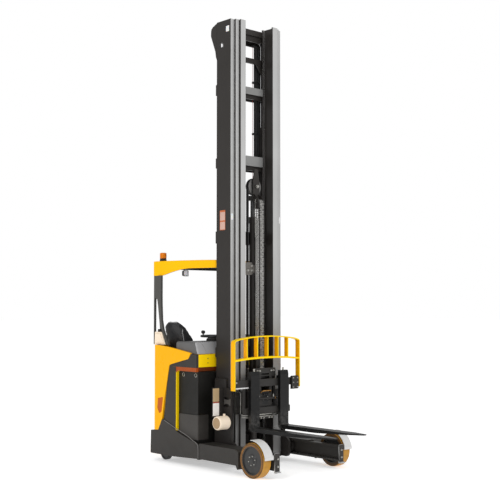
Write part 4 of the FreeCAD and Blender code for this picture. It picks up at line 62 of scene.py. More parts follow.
camera_heading = math.radians(137.754)
camera_rise = math.radians(3.167)
camera_data = bpy.data.cameras.new("camera")
camera_data.sensor_width = 36.0
camera_data.lens = 71.51
camera_data.clip_end = 400.0
camera = new_object("camera", camera_data)
camera.location = (7.7855, -7.2927, 1.7126)
look_along = Vector((
    math.cos(camera_rise) * math.cos(camera_heading),
    math.cos(camera_rise) * math.sin(camera_heading),
    math.sin(camera_rise),
))
camera.rotation_euler = look_along.to_track_quat("-Z", "Y").to_euler()
bpy.context.scene.camera = camera
bpy.context.scene.view_settings.view_transform = "Standard"

# -------------------------------------------------------------------------- floor and light
# A plain pale studio floor without a visible edge, a white surround, one broad soft lamp high
# on the camera's left and a weaker one on its right, so that upright edges keep some contrast.


class Finish:
    """Material in the making, with the shader nodes that the finishes below share."""

    def __init__(self, material, main="Principled BSDF"):
        material.use_nodes = True
        self.material = material
        self.tree = material.node_tree
        self.shader = self.tree.nodes[main]

    def fill(self, node, values):
        """Link a socket into each named input, or set a number, vector or colour on it."""
        for label, value in values.items():
            socket = node.inputs[label]
            if isinstance(value, bpy.types.NodeSocket):
                self.tree.links.new(value, socket)
            else:
                socket.default_value = (*value, 1.0) if socket.type == "RGBA" else value

    def add(self, kind, output, values=None, **settings):
        """Add a node and return one of its outputs."""
        node = self.tree.nodes.new("ShaderNode" + kind)
        for key, value in settings.items():
            setattr(node, key, value)
        self.fill(node, values or {})
        return node.outputs[output]

    def coat(self, values):
        self.fill(self.shader, values)

    def coated_with(self):
        """What colours the surface so far."""
        return self.shader.inputs["Base Color"].links[0].from_socket

    def place(self):
        return self.add("TexCoord", "Object")

    def axis(self, letter):
        return self.add("SeparateXYZ", letter, {"Vector": self.place()})

    def noise(self, scale, detail, rough=0.5):
        return self.add("TexNoise", "Fac", {"Vector": self.place(), "Scale": scale, "Detail": detail,
                                            "Roughness": rough})

    def spread(self, source, low, high, new_low, new_high):
        """Carry a range of values over to another range, held at its ends."""
        return self.add("MapRange", "Result", {"Value": source, "From Min": low, "From Max": high,
                                               "To Min": new_low, "To Max": new_high})

    def times(self, first, second):
        return self.add("Math", "Value", {0: first, 1: second}, operation="MULTIPLY")

    def mix(self, share, first, second):
        return self.add("MixRGB", "Color", {"Fac": share, "Color1": first, "Color2": second})

    def tones(self, share, low, dark, high, light):
        """Colour that runs from dark to light as the share goes from low to high."""
        ramp = self.tree.nodes.new("ShaderNodeValToRGB")
        for stop, (position, colour) in zip(ramp.color_ramp.elements, ((low, dark), (high, light))):
            stop.position = position
            stop.color = (*colour, 1.0)
        self.fill(ramp, {"Fac": share})
        return ramp.outputs["Color"]

    def soft_edge(self, radius):
        return self.add("Bevel", "Normal", {"Radius": radius}, samples=4)

    def relief(self, height, strength, depth, base=None):
        """Fine bumps over the surface, or over softened edges."""
        values = {"Height": height, "Strength": strength, "Distance": depth}
        if base is not None:
            values["Normal"] = base
        self.coat({"Normal": self.add("Bump", "Normal", values)})


FLOOR_HALF = 90.0
floor_mesh = bpy.data.meshes.new("studio_floor")
floor_mesh.from_pydata(
    [(x * FLOOR_HALF, y * FLOOR_HALF, 0) for x, y in ((-1, -1), (1, -1), (1, 1), (-1, 1))],
    [],
    [(0, 1, 2, 3)],
)
studio_floor = new_object("studio_floor", floor_mesh)
floor_paint = Finish(bpy.data.materials.new("pale_floor"))
floor_paint.coat({"Base Color": (0.95, 0.95, 0.95), "Roughness": 0.9, "Specular IOR Level": 0.1,
                  "Emission Color": (1.0, 1.0, 1.0), "Emission Strength": 0.46})
floor_mesh.materials.append(floor_paint.material)

world = bpy.data.worlds.new("studio")
bpy.context.scene.world = world
surround = Finish(world, "Background")
seen_directly = surround.add("LightPath", "Is Camera Ray")
surround.coat({"Color": (1.0, 1.0, 1.0),
               "Strength": surround.add("Mix", "Result", {"Factor": seen_directly, "A": 0.62, "B": 1.0})})


def soft_lamp(name, place, target, watts):
    """Large square lamp aimed at a point."""
    data = bpy.data.lights.new(name, "AREA")
    data.size = 5.0
    data.energy = watts
    lamp = new_object(name, data)
    lamp.location = place
    lamp.rotation_euler = (Vector(target) - Vector(place)).to_track_quat("-Z", "Y").to_euler()


soft_lamp("key_lamp", (2.0, -9.0, 7.5), (0.0, 0.0, 1.6), 300.0)
soft_lamp("side_lamp_soft", (9.0, 2.0, 5.5), (0.0, 0.0, 2.0), 260.0)

# --------------------------------------------------------------------------- chassis and legs
# Welded steel: profiled skirts, cross walls and the two channel legs that hold the load wheels
# and guide the mast. Sprayed in one coat of dark warm grey, rubbed bright here and there.

UP = (0, 0, 1)
AHEAD = (1, 0, 0)
LEFT = (0, 1, 0)
SIDES = ((-1, "right"), (1, "left"))


def coated_steel(name, colour, roughness=0.42, cloud=0.12, peel=0.05, wear=0.35, bare=(0.30, 0.29, 0.28),
                 gloss=0.22, edge=0.0014, metal=0.0):
    """Paint on steel: slow colour drift, fine orange peel, softened edges with rubbed spots."""
    look = Finish(bpy.data.materials.new(name))
    darker = [c * (1.0 - cloud) for c in colour]
    lighter = [min(c * (1.0 + cloud) + 0.02 * cloud, 1.0) for c in colour]
    paint = look.mix(look.spread(look.noise(1.7, 4.0, 0.6), 0.3, 0.7, 0.0, 1.0), darker, lighter)
    softened = look.soft_edge(edge)
    if wear:
        flat = look.add("NewGeometry", "Normal")
        likeness = look.add("VectorMath", "Value", {0: softened, 1: flat}, operation="DOT_PRODUCT")
        on_edge = look.spread(likeness, 0.99, 0.90, 0.0, 1.0)
        patches = look.spread(look.noise(38.0, 6.0, 0.7), 0.46, 0.62, 0.0, wear)
        paint = look.mix(look.times(on_edge, patches), paint, bare)
    matt = look.spread(look.noise(9.0, 5.0, 0.65), 0.3, 0.7, roughness - 0.07, roughness + 0.07)
    look.coat({"Metallic": metal, "Specular IOR Level": gloss, "Base Color": paint, "Roughness": matt})
    look.relief(look.noise(420.0, 2.0), peel, 0.002, softened)
    return look.material


def dress(material, *names):
    """Give one finish to some of the frame's nodes."""
    for name in names:
        mesh = nodes[name].data
        mesh.materials.clear()
        mesh.materials.append(material)


def recoat(mesh, material, chosen):
    """Give a second finish to those faces of a mesh whose middle and facing are chosen."""
    mesh.materials.append(material)
    index = len(mesh.materials) - 1
    for face in mesh.polygons:
        if chosen(face.center, face.normal):
            face.material_index = index


def dress_where(name, material, chosen):
    """The same on a node of the frame."""
    recoat(nodes[name].data, material, chosen)


def add_piece(name, shape, material, body, smooth_angle=35.0):
    """Turn a bmesh into a piece of the truck that rides on one of its bodies."""
    bmesh.ops.recalc_face_normals(shape, faces=shape.faces[:])
    mesh = bpy.data.meshes.new(name)
    shape.to_mesh(mesh)
    shape.free()
    mesh.materials.append(material)
    mesh.shade_smooth()
    mesh.set_sharp_from_angle(angle=math.radians(smooth_angle))
    piece = new_object(name, mesh)
    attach(piece, body)
    return piece


def build(name, material, body, slot, *parts, smooth_angle=35.0):
    """Piece put together from parts: each is a function that adds to a shape, and what it takes."""
    shape = bmesh.new()
    for make, *details in parts:
        make(shape, *details)
    return add_piece(name, shape, material, body, smooth_angle)


def loft(shape, outlines, caps=(0, -1), loop=False):
    """Skin from each outline to the next, with the named ones closed. One point makes a tip."""
    rings = [[shape.verts.new(point) for point in outline] for outline in outlines]
    for first, second in zip(rings, rings[1:] + (rings[:1] if loop else [])):
        steps = max(len(first), len(second))
        for k in range(steps):
            j = (k + 1) % steps
            corners = (first[k % len(first)], first[j % len(first)], second[j % len(second)],
                       second[k % len(second)])
            shape.faces.new(tuple(dict.fromkeys(corners)))
    for cap in caps:
        shape.faces.new(rings[cap] if cap else rings[cap][::-1])
    return rings


def turn_profile(shape, profile, place, direction, steps=24):
    """Turned body: profile holds (distance along the axis, radius) from end to end."""
    facing = Vector(direction).to_track_quat("Z", "Y").to_matrix().to_4x4()
    stand = Matrix.Translation(Vector(place)) @ facing
    outlines = []
    for along, radius in profile:
        count = steps if radius else 1
        outlines.append([stand @ Vector((radius * math.cos(a), radius * math.sin(a), along))
                         for a in (2 * math.pi * k / count for k in range(count))])
    loft(shape, outlines, caps=())


def hex_bolts(name, places, direction, across, material, body, slot):
    """A row of hexagon bolts, each with its washer, chamfered head and centre dimple."""
    washer = ((0, 0.62), (0.10, 0.62), (0.12, 0.589), (0.12, 0.40))
    head = ((0, 0.57), (0.46, 0.57), (0.56, 0.44), (0.56, 0.22), (0.50, 0.16), (0.50, 0))
    seat = Vector(direction) * across * 0.12
    parts = []
    for place in places:
        for profile, spot, steps in ((washer, place, 20), (head, Vector(place) + seat, 6)):
            scaled = [(along * across, radius * across) for along, radius in profile]
            parts.append((turn_profile, scaled, spot, direction, steps))
    return build(name, material, body, slot, *parts, smooth_angle=20.0)


charcoal_paint = coated_steel("charcoal_paint", (0.0312, 0.0281, 0.0250))
dress(charcoal_paint, "chassis_frame", "leg_right", "leg_left", "side_frames", "seat_box",
      "drive_unit", "caster_fork", "reach_cylinder")

# Machined running faces inside the legs, polished by the mast's rollers.
LEG_FLANGE_LEVELS = (0.101, 0.231)
LEG_CENTRE_Y = 0.46
worn_steel = coated_steel("worn_steel", (0.30, 0.29, 0.28), roughness=0.30, cloud=0.20, peel=0.02,
                          wear=0.0, metal=0.8)
plate_paint = coated_steel("end_plate_paint", (0.36, 0.36, 0.355), roughness=0.36, wear=0.4)
for leg_name in ("leg_right", "leg_left"):
    plate_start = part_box(leg_name)[1].x - 0.030
    dress_where(leg_name, plate_paint,
                lambda middle, normal: middle.x > plate_start and (abs(normal.x) < 0.9 or middle.z < 0.075))
    dress_where(leg_name, worn_steel,
                lambda middle, normal: abs(normal.z) > 0.9 and 0.43 < abs(middle.y) < 0.47
                and any(abs(middle.z - level) < 0.003 for level in LEG_FLANGE_LEVELS))

zinc = coated_steel("zinc_plate", (0.42, 0.41, 0.38), roughness=0.32, cloud=0.18, peel=0.02, wear=0.0,
                    metal=0.9)
hex_bolts("leg_stop_bolts", [(0.668, side * LEG_CENTRE_Y, z) for side in (-1, 1) for z in (0.125, 0.20)],
          AHEAD, 0.017, zinc, "chassis", "dark_paint")

# ------------------------------------------------------------------------------- load wheels
# Cast-iron centre with a cast polyurethane tread, on a fixed axle at the end of each leg. The
# dished face is painted dark, with a cover cap and six cap screws.

LOAD_WHEEL_X = 0.466
LOAD_WHEEL_Z = 0.175
WHEEL_FACE_Y = 0.627
SCREW_CIRCLE = 0.046


def cast_polyurethane(name, colour, dirt_and_shade):
    """Amber tread: cloudy inside the colour, scuffed matt, with dirt pressed into it."""
    look = Finish(bpy.data.materials.new(name))
    scuff = look.noise(95.0, 8.0, 0.75)
    tone = look.tones(look.noise(14.0, 6.0), 0.34, [c * 0.72 for c in colour], 0.68, colour)
    soiled = look.mix(look.spread(scuff, 0.50, 0.78, 0.0, 0.55), tone, dirt_and_shade)
    look.coat({"Specular IOR Level": 0.45, "Coat Weight": 0.10, "Coat Roughness": 0.35,
               "Base Color": soiled, "Roughness": look.spread(scuff, 0.3, 0.7, 0.42, 0.66)})
    look.relief(scuff, 0.25, 0.001)
    return look.material


amber_tread = cast_polyurethane("amber_tread", (0.52, 0.245, 0.010), (0.16, 0.075, 0.015))
# Dark brown copy of the amber tread for its side faces: painted shade.
tread_side_shade = cast_polyurethane("tread_side_painted_shade", (0.095, 0.040, 0.005), (0.04, 0.02, 0.006))
hub_paint = coated_steel("hub_paint", (0.017, 0.0165, 0.016), roughness=0.38, cloud=0.35, peel=0.20,
                         wear=0.5, bare=(0.16, 0.15, 0.14), gloss=0.4)
for side, side_name in SIDES:
    dress(amber_tread, "load_tread_" + side_name)
    # The tread's side faces take the dark copy as painted shade.
    dress_where("load_tread_" + side_name, tread_side_shade, lambda middle, normal: abs(normal.y) > 0.8)
    dress(hub_paint, "load_hub_" + side_name)
    body = "load_wheel_" + side_name
    outward = (0, side, 0)
    screw_turns = [math.radians(60 * k + 15) for k in range(6)]
    hex_bolts("hub_screws_" + side_name,
              [(LOAD_WHEEL_X + SCREW_CIRCLE * math.cos(a), side * (WHEEL_FACE_Y - 0.008),
                LOAD_WHEEL_Z + SCREW_CIRCLE * math.sin(a)) for a in screw_turns],
              outward, 0.0105, zinc, body, "hub_iron")
    build("hub_cap_" + side_name, hub_paint, body, "hub_iron",
          (turn_profile, [(0.0, 0.031), (0.002, 0.031), (0.0045, 0.028), (0.006, 0.012), (0.006, 0.0)],
           (LOAD_WHEEL_X, side * (WHEEL_FACE_Y - 0.0082), LOAD_WHEEL_Z), outward, 48))
    ring_tread = cast_polyurethane("tread_ring_" + side_name, (0.30, 0.12, 0.012), (0.10, 0.05, 0.015))
    build("tread_ring_" + side_name, ring_tread, body, "polyurethane",
          (turn_profile, [(0.0, 0.1455), (0.0012, 0.1458), (0.0012, 0.1520), (0.0, 0.1523)],
           (LOAD_WHEEL_X, side * (WHEEL_FACE_Y - 0.0008), LOAD_WHEEL_Z), outward, 96))

# ------------------------------------------------------------------------------ wheel fenders
# Bent steel strip over each load wheel, in light grey, held to the leg by two bolts.

fender_paint = coated_steel("fender_paint", (0.60, 0.60, 0.59), roughness=0.35, cloud=0.06, wear=0.25,
                            bare=(0.25, 0.24, 0.23))
dress(fender_paint, "wheel_fenders")

# ------------------------------------------------------------------------- drive wheel, caster
# Drive wheel with the same amber tread, and a black support wheel, both on iron centres.

dress(amber_tread, "drive_wheel")
dress(cast_polyurethane("black_tread", (0.016, 0.015, 0.014), (0.05, 0.045, 0.04)), "caster_wheel")
for wheel, axle_x, axle_z, hub_radius in (("drive_wheel", -0.989, 0.1715, 0.126),
                                          ("caster_wheel", -1.089, 0.075, 0.055)):
    dress_where(wheel, hub_paint,
                lambda middle, normal: math.hypot(middle.x - axle_x, middle.z - axle_z) < hub_radius)
dress_where("reach_cylinder", worn_steel, lambda middle, normal: middle.x > -0.445)

# ------------------------------------------------------------------------------------ battery
# Sheet-steel case with black acid-proof coating, full of closed cells. Its lifting eyes have
# rolled rings round them; the cells' lids with their plugs and bridges lie in the open top.

CELL_ROWS = 4
CELLS_ALONG = 12
CASE_WALL = 0.012


def block(shape, corner, opposite, bevel=0.0):
    """Box between two opposite corners, with its edges rounded."""
    made = bmesh.ops.create_cube(shape, size=1.0)["verts"]
    bmesh.ops.scale(shape, vec=[abs(b - a) for a, b in zip(corner, opposite)], verts=made)
    bmesh.ops.translate(shape, vec=[(a + b) / 2 for a, b in zip(corner, opposite)], verts=made)
    if bevel:
        edges = list({edge for vertex in made for edge in vertex.link_edges})
        bmesh.ops.bevel(shape, geom=edges, offset=bevel, segments=2, affect="EDGES")


battery_low, battery_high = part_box("battery")
battery_coating = coated_steel("battery_coating", (0.0085, 0.0078, 0.0065), roughness=0.48, cloud=0.20,
                               peel=0.30, bare=(0.10, 0.10, 0.10))
cover_paint = coated_steel("cover_paint", (0.048, 0.044, 0.040), roughness=0.45, cloud=0.10, wear=0.4)
dress(battery_coating, "battery")
dress(cover_paint, "battery_covers")
EYE_RING = [(0.0, 0.0150), (0.0016, 0.0158), (0.0024, 0.0178), (0.0016, 0.0198), (0.0, 0.0206)]
build("battery_eye_rings", zinc, "chassis", "battery_steel",
      *((turn_profile, EYE_RING, (battery_low.x + 0.353 * share, side * 0.588, battery_high.z - 0.035),
         (0, side, 0), 36) for side in (-1, 1) for share in (0.3, 0.89)))

lid_z = battery_high.z - 0.070
row_pitch = (battery_high.x - battery_low.x - 2 * CASE_WALL) / CELL_ROWS
cell_pitch = (battery_high.y - battery_low.y - 2 * CASE_WALL) / CELLS_ALONG
half_lid = Vector((row_pitch - 0.004, cell_pitch - 0.004, 0.018)) / 2
half_bridge = Vector((0.016, cell_pitch * 0.72, 0.006)) / 2
cells = []
plugs = []
bridges = []
for row in range(CELL_ROWS):
    for place in range(CELLS_ALONG):
        lid = Vector((battery_low.x + CASE_WALL + row_pitch * (row + 0.5),
                      battery_low.y + CASE_WALL + cell_pitch * (place + 0.5), lid_z + 0.010))
        cells.append((block, lid - half_lid, lid + half_lid, 0.002))
        plugs.append((turn_profile, [(0, 0.016), (0.010, 0.016), (0.013, 0.013), (0.014, 0.0)],
                      lid + Vector((0, 0, 0.009)), UP, 20))
        if place < CELLS_ALONG - 1:
            middle = lid + Vector((0.026 if place % 2 else -0.026, cell_pitch / 2, 0.013))
            bridges.append((block, middle - half_bridge, middle + half_bridge))
cell_plastic = coated_steel("cell_lid_plastic", (0.045, 0.046, 0.050), roughness=0.5, peel=0.1, wear=0.0)
plug_plastic = coated_steel("cell_plug_plastic", (0.62, 0.52, 0.05), roughness=0.4, wear=0.0)
bridge_rubber = coated_steel("bridge_rubber", (0.02, 0.02, 0.02), roughness=0.7, wear=0.0)
for name, finish, parts in (("battery_cells", cell_plastic, cells), ("battery_plugs", plug_plastic, plugs),
                            ("battery_bridges", bridge_rubber, bridges)):
    build(name, finish, "chassis", "battery_steel", *parts)

# ------------------------------------------------------------------------------- yellow panels
# Pressed and folded steel panels, front beam and battery edge strips in amber-yellow gloss coat.

yellow_paint = coated_steel("yellow_paint", (0.96, 0.450, 0.002), roughness=0.30, cloud=0.035, peel=0.06,
                            wear=0.25, bare=(0.55, 0.30, 0.03), gloss=0.10)
# Lighter, lemon copy of the yellow for faces that catch the light: a painted highlight.
lit_yellow_paint = coated_steel("lit_yellow_paint", (0.95, 0.640, 0.003), roughness=0.30, cloud=0.05, peel=0.06,
                           wear=0.25, bare=(0.50, 0.33, 0.03), gloss=0.10)
orange_strip_shade = coated_steel("strip_orange_painted_shade", (0.34, 0.058, 0.001), roughness=0.30, cloud=0.10, wear=0.2,
                             bare=(0.3, 0.10, 0.02))
dress(yellow_paint, "side_panel_right", "side_panel_left", "rear_cover")
# The front beam and the battery frames take the lit copy of the yellow as a painted highlight.
dress(lit_yellow_paint, "front_beam", "battery_frames")
# The battery frames' top strip and their front faces at the top take a dark orange copy of the yellow as
# painted shade.
dress_where("battery_frames", orange_strip_shade,
            lambda middle, normal: middle.z > 1.0 and abs(normal.y) > 0.8 and middle.x > -0.775
            or normal.x > 0.6 and middle.z > 0.995)

# ----------------------------------------------------------------------------------- side lamp
# Long reflector lamp let into the right panel: an amber moulding with upright ribs inside.


def moulded_lens(name, colour, ribs, axis):
    """Amber lens: glossy skin over a ribbed, lighter and darker striped body."""
    look = Finish(bpy.data.materials.new(name))
    bands = look.add("TexWave", "Fac", {"Vector": look.place(), "Scale": ribs, "Distortion": 0.15},
                     bands_direction=axis)
    look.coat({"Roughness": 0.12, "Specular IOR Level": 0.15, "Coat Weight": 0.05, "Coat Roughness": 0.05,
               "Subsurface Weight": 0.15, "Subsurface Radius": (0.010, 0.004, 0.001),
               "Base Color": look.tones(bands, 0.0, [c * 0.62 for c in colour], 1.0, colour)})
    look.relief(bands, 0.35, 0.001)
    return look.material


dress(moulded_lens("side_lens", (0.62, 0.125, 0.002), 22.0, "X"), "side_lamp")

# ---------------------------------------------------------------------------------------- hood
# Moulded hood over the battery: mid-grey grained plastic in one piece, with a pressed crease
# that curves over its front face. Its front faces get a lighter copy of the plastic as a painted
# highlight, and the crease is drawn as a thin dark bead of painted shadow.


def grained_plastic(name, colour, roughness=0.5, grain=900.0, depth=0.12, sheen=0.0):
    """Moulded plastic with a fine leather-like grain and faint flow marks."""
    look = Finish(bpy.data.materials.new(name))
    pores = look.add("TexVoronoi", "Distance", {"Vector": look.place(), "Scale": grain})
    tone = look.tones(look.noise(3.0, 5.0), 0.35, [c * 0.90 for c in colour],
                      0.70, [min(c * 1.08, 1.0) for c in colour])
    look.coat({"Specular IOR Level": 0.45, "Sheen Weight": sheen, "Base Color": tone,
               "Roughness": look.spread(pores, 0.0, 0.7, roughness - 0.06, roughness + 0.08)})
    look.relief(pores, depth, 0.0008, look.soft_edge(0.002))
    return look.material


def sweep(shape, points, radius, steps=12, closed=False):
    """Round bar, bead or cable along a line of points."""
    path = [Vector(point) for point in points]
    count = len(path)
    side = None
    outlines = []
    for i, here in enumerate(path):
        before = path[i - 1] if i or closed else here
        after = path[(i + 1) % count] if i < count - 1 or closed else here
        along = (after - before).normalized()
        if side is None:
            side = along.orthogonal().normalized()
        side = (side - along * side.dot(along)).normalized()
        other = along.cross(side)
        outlines.append([here + radius * (math.cos(a) * side + math.sin(a) * other)
                         for a in (2 * math.pi * k / steps for k in range(steps))])
    loft(shape, outlines, () if closed else (0, -1), closed)


hood_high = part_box("hood")[1]
dress(grained_plastic("hood_plastic", (0.105, 0.104, 0.103), roughness=0.42), "hood")
# Lighter copy of the hood's plastic on the faces that look ahead: a painted highlight.
dress_where("hood", grained_plastic("hood_front_painted_highlight", (0.33, 0.33, 0.335), roughness=0.38),
            lambda middle, normal: normal.x > 0.35 and middle.x > -0.47)
CREASE_STEPS = 16
creases = []
for side in (-1, 1):
    line = []
    for step in range(CREASE_STEPS + 1):
        t = step / CREASE_STEPS
        line.append((hood_high.x - 0.042 + 0.040 * t - 0.001, side * (0.53 - 0.10 * t + 0.05 * t * t),
                     hood_high.z - 0.004 - 0.118 * t))
    creases.append((sweep, line, 0.0016, 8))
# Thin dark bead along the crease: painted shadow.
build("hood_crease", grained_plastic("crease_painted_shadow", (0.03, 0.03, 0.03), roughness=0.6), "chassis",
      "hood_plastic", *creases)
build("front_beam_plugs", grained_plastic("plug_black", (0.06, 0.04, 0.02), roughness=0.6), "chassis",
      "yellow_paint",
      *((turn_profile, [(0.0, 0.0068), (0.0006, 0.0062), (0.0006, 0.0)], (-0.4059, side * 0.46, z), AHEAD, 20)
        for side in (-1, 1) for z in (1.095, 1.142)))

# Lip under the front beam, painted dark red-brown as the yellow in the beam's shade, and charcoal strips that
# cover the battery frames' back edge.
beam_low, beam_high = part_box("front_beam")
beam_lip_shade = coated_steel("lip_painted_shade", (0.11, 0.020, 0.001), roughness=0.4, wear=0.2)
build("front_beam_lip", beam_lip_shade, "chassis", "yellow_paint",
      (block, (beam_high.x - 0.014, -beam_high.y + 0.006, beam_low.z - 0.044),
       (beam_high.x - 0.003, beam_high.y - 0.006, beam_low.z + 0.002), 0.003))
frames_low, frames_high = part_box("battery_frames")
for side, side_name in SIDES:
    build("frame_strip_" + side_name, charcoal_paint, "chassis", "dark_paint",
          (block, (frames_low.x + 0.002, side * (frames_high.y + 0.0030), frames_low.z + 0.004),
           (frames_low.x + 0.034, side * (frames_high.y - 0.012), frames_high.z - 0.002), 0.0010))

# Light grey bead along the edge of the skirt's thick side plates, where they curve down to the legs: a
# painted highlight on that edge.
SKIRT_EDGE = [(-0.952, 0.456), (-0.860, 0.424), (-0.756, 0.387), (-0.670, 0.362), (-0.583, 0.336),
              (-0.520, 0.314), (-0.464, 0.288), (-0.410, 0.268), (-0.378, 0.252), (-0.366, 0.232),
              (-0.363, 0.200), (-0.363, 0.106)]
skirt_edge_highlight = coated_steel("skirt_edge_highlight", (0.22, 0.21, 0.205), roughness=0.4, cloud=0.15, wear=0.5)
for side, side_name in SIDES:
    build("skirt_edge_" + side_name, skirt_edge_highlight, "chassis", "dark_paint",
          (sweep, [(x, side * WHEEL_FACE_Y, z) for x, z in SKIRT_EDGE], 0.0028, 8))

# ------------------------------------------------------------------------------ overhead guard
# Welded roof frame in yellow: deep gussets at the rear corners, a shallow beam all round, dark
# flat bars on edge across it, dark plate posts at the rear and two tubes at the front.

guard_low, guard_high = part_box("overhead_guard")
ROOF_REAR_HALF = 0.589
ROOF_FRONT_HALF = 0.345
ROOF_BEAM_LOW = 2.116
ROOF_CORNER_LOW = 2.040
ROOF_SHEET = 0.008


def roof_outline(inset, radius):
    """Points round the roof at a distance in from its edge, the same number for each inset."""
    rear, front = guard_low.x + inset, guard_high.x - inset
    rear_half, front_half = ROOF_REAR_HALF - inset, ROOF_FRONT_HALF - inset
    corners = [Vector((rear, -rear_half)), Vector((front, -front_half)), Vector((front, front_half)),
               Vector((rear, rear_half))]
    points = []
    for k, corner in enumerate(corners):
        following = corners[(k + 1) % 4]
        into = (corner - corners[k - 1]).normalized()
        out_of = (following - corner).normalized()
        start, end = corner - into * radius, corner + out_of * radius
        for t in (step / 6.0 for step in range(7)):
            points.append(start * (1 - t) ** 2 + corner * 2 * t * (1 - t) + end * t ** 2)
        goal = following - out_of * radius
        points += [end.lerp(goal, step / 24.0) for step in range(1, 24)]
    return points


def roof_edge_z(point):
    """Lower edge of the roof: low at the rear corners, rising in a curve to the beam."""
    ahead = max(0.0, point.x - guard_low.x - 0.135)
    side_rise = 1.0 - (1.0 - min(1.0, ahead / 0.36)) ** 1.7
    inward = max(0.0, ROOF_REAR_HALF - 0.035 - abs(point.y)) if point.x < guard_low.x + 0.05 else 0.0
    rise = max(side_rise, min(1.0, inward / 0.03))
    return ROOF_CORNER_LOW + (ROOF_BEAM_LOW - ROOF_CORNER_LOW) * rise


def roof_top_z(point):
    """Upper edge, which falls a little towards both ends."""
    return guard_high.z - 0.004 * abs((point.x - guard_low.x) / (guard_high.x - guard_low.x) * 2 - 1) ** 3


outer_line = roof_outline(0.0, 0.030)
wall_line = roof_outline(0.012, 0.020)
lip_line = roof_outline(0.074, 0.012)
lower = [roof_edge_z(point) for point in outer_line]
upper = [roof_top_z(point) for point in outer_line]
under = [z - ROOF_SHEET for z in upper]
roof_rings = [
    [(point.x, point.y, z) for point, z in zip(line, levels)]
    for line, levels in ((outer_line, lower), (outer_line, [z - 0.006 for z in upper]),
                         (roof_outline(0.006, 0.026), upper), (lip_line, upper), (lip_line, under),
                         (wall_line, under), (wall_line, lower))
]
roof_paint = coated_steel("roof_paint", (0.97, 0.495, 0.002), roughness=0.30, cloud=0.05, peel=0.06, wear=0.2,
                          bare=(0.55, 0.33, 0.03), gloss=0.10)
# Black finish: the guard's own dark bars and caps, and painted shade on the roof frame's inner faces.
guard_black_and_shade = coated_steel("guard_black_and_painted_shade", (0.010, 0.009, 0.009), roughness=0.5, wear=0.0)
roof = build("roof_frame", roof_paint, "chassis", "yellow_paint", (loft, roof_rings, (), True))
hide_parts("overhead_guard")


def roof_shade_faces(middle, normal):
    """True for the faces that look down, or in towards the frame's middle, which are painted black as painted
    shade.
    """
    across = abs(normal.y) > 0.5 and normal.y * middle.y < 0
    along = abs(middle.x) < abs(guard_low.x) - 0.006 and abs(normal.x) > 0.8
    return normal.z < -0.3 or across or along and normal.x * (middle.x + 0.8) < 0


# The yellow roof frame's downward and inward faces are painted black: painted shade.
recoat(roof.data, guard_black_and_shade, roof_shade_faces)
dress(guard_black_and_shade, "guard_bars")

rear_edge, front_edge = guard_low.x + 0.002, guard_low.x + 0.131
post_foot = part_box("guard_posts")[0].z + 0.002
post_top = ROOF_CORNER_LOW + 0.001
FRONT_POST_Y = 0.268
outer_outline = [(rear_edge, post_foot), (front_edge + 0.145, post_foot), (front_edge + 0.083, 1.360),
                 (front_edge + 0.040, 1.440), (front_edge + 0.012, 1.545), (front_edge + 0.002, 1.712),
                 (front_edge, 1.800), (front_edge, post_top), (rear_edge, post_top),
                 (rear_edge, 1.800), (rear_edge, 1.500)]
slot_outline = [(rear_edge + 0.013, 1.330), (front_edge - 0.004, 1.330), (front_edge - 0.010, 1.400),
                (front_edge - 0.018, 1.470), (front_edge - 0.028, 1.545), (front_edge - 0.054, 1.712),
                (front_edge - 0.066, 1.770), (front_edge - 0.080, 1.792), (rear_edge + 0.026, 1.792),
                (rear_edge + 0.014, 1.775), (rear_edge + 0.013, 1.500)]
posts = []
for side in (-1, 1):
    plate = [[(x, side * y, z) for x, z in outline]
             for y, outline in ((0.546, outer_outline), (0.546, slot_outline), (0.572, slot_outline),
                                (0.572, outer_outline))]
    posts.append((loft, plate, (), True))
    tube_y = side * FRONT_POST_Y
    posts.append((block, (-0.452, tube_y - 0.018, post_foot + 0.010), (-0.412, tube_y + 0.018, 2.150), 0.006))
    posts.append((block, (-0.480, tube_y - 0.036, post_foot + 0.001),
                  (-0.410, tube_y + 0.036, post_foot + 0.014), 0.003))
post_paint = coated_steel("post_paint", (0.072, 0.070, 0.065), cloud=0.08, wear=0.3)
post_plates = build("guard_post_plates", post_paint, "chassis", "dark_paint", *posts, smooth_angle=25.0)
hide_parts("guard_posts")

# Cover on the foot of each rear post: cream moulding with a step, and a black cap behind it.
COVER = [(-1.188, 1.274), (-0.992, 1.274), (-1.030, 1.345), (-1.058, 1.404), (-1.070, 1.414), (-1.182, 1.414)]
COVER_STEP = [(-1.172, 1.288), (-1.016, 1.288), (-1.046, 1.340), (-1.074, 1.394), (-1.168, 1.394)]
COVER_CAP = [(-1.130, 1.4142), (-1.074, 1.4142), (-1.082, 1.438), (-1.096, 1.446), (-1.124, 1.446)]


def side_plates(shape, outline, near, far):
    """The same upright plate on both sides of the truck."""
    for side in (-1, 1):
        loft(shape, [[(x, side * y, z) for x, z in outline] for y in (near, far)])


def round_edges(shape, radius):
    bmesh.ops.bevel(shape, geom=shape.edges[:], offset=radius, segments=2, affect="EDGES")


cream_paint = coated_steel("cream_paint", (0.90, 0.76, 0.60), roughness=0.38, cloud=0.05, wear=0.15,
                           bare=(0.35, 0.30, 0.24), gloss=0.3)
covers = build("post_foot_covers", cream_paint, "chassis", "cream_paint", (side_plates, COVER, 0.5735, 0.588),
               (side_plates, COVER_STEP, 0.586, 0.594), (round_edges, 0.0035))
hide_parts("post_feet")
build("post_foot_caps", guard_black_and_shade, "chassis", "dark_paint", (side_plates, COVER_CAP, 0.5735, 0.586),
      smooth_angle=25.0)

# ------------------------------------------------------------------------- beacon, work lamp
# Flashing beacon: a straight amber drum with fine rings on a black rubber base. Work lamp:
# black housing on a stalk under the roof beam, with a pale ribbed pane in a bright rim.

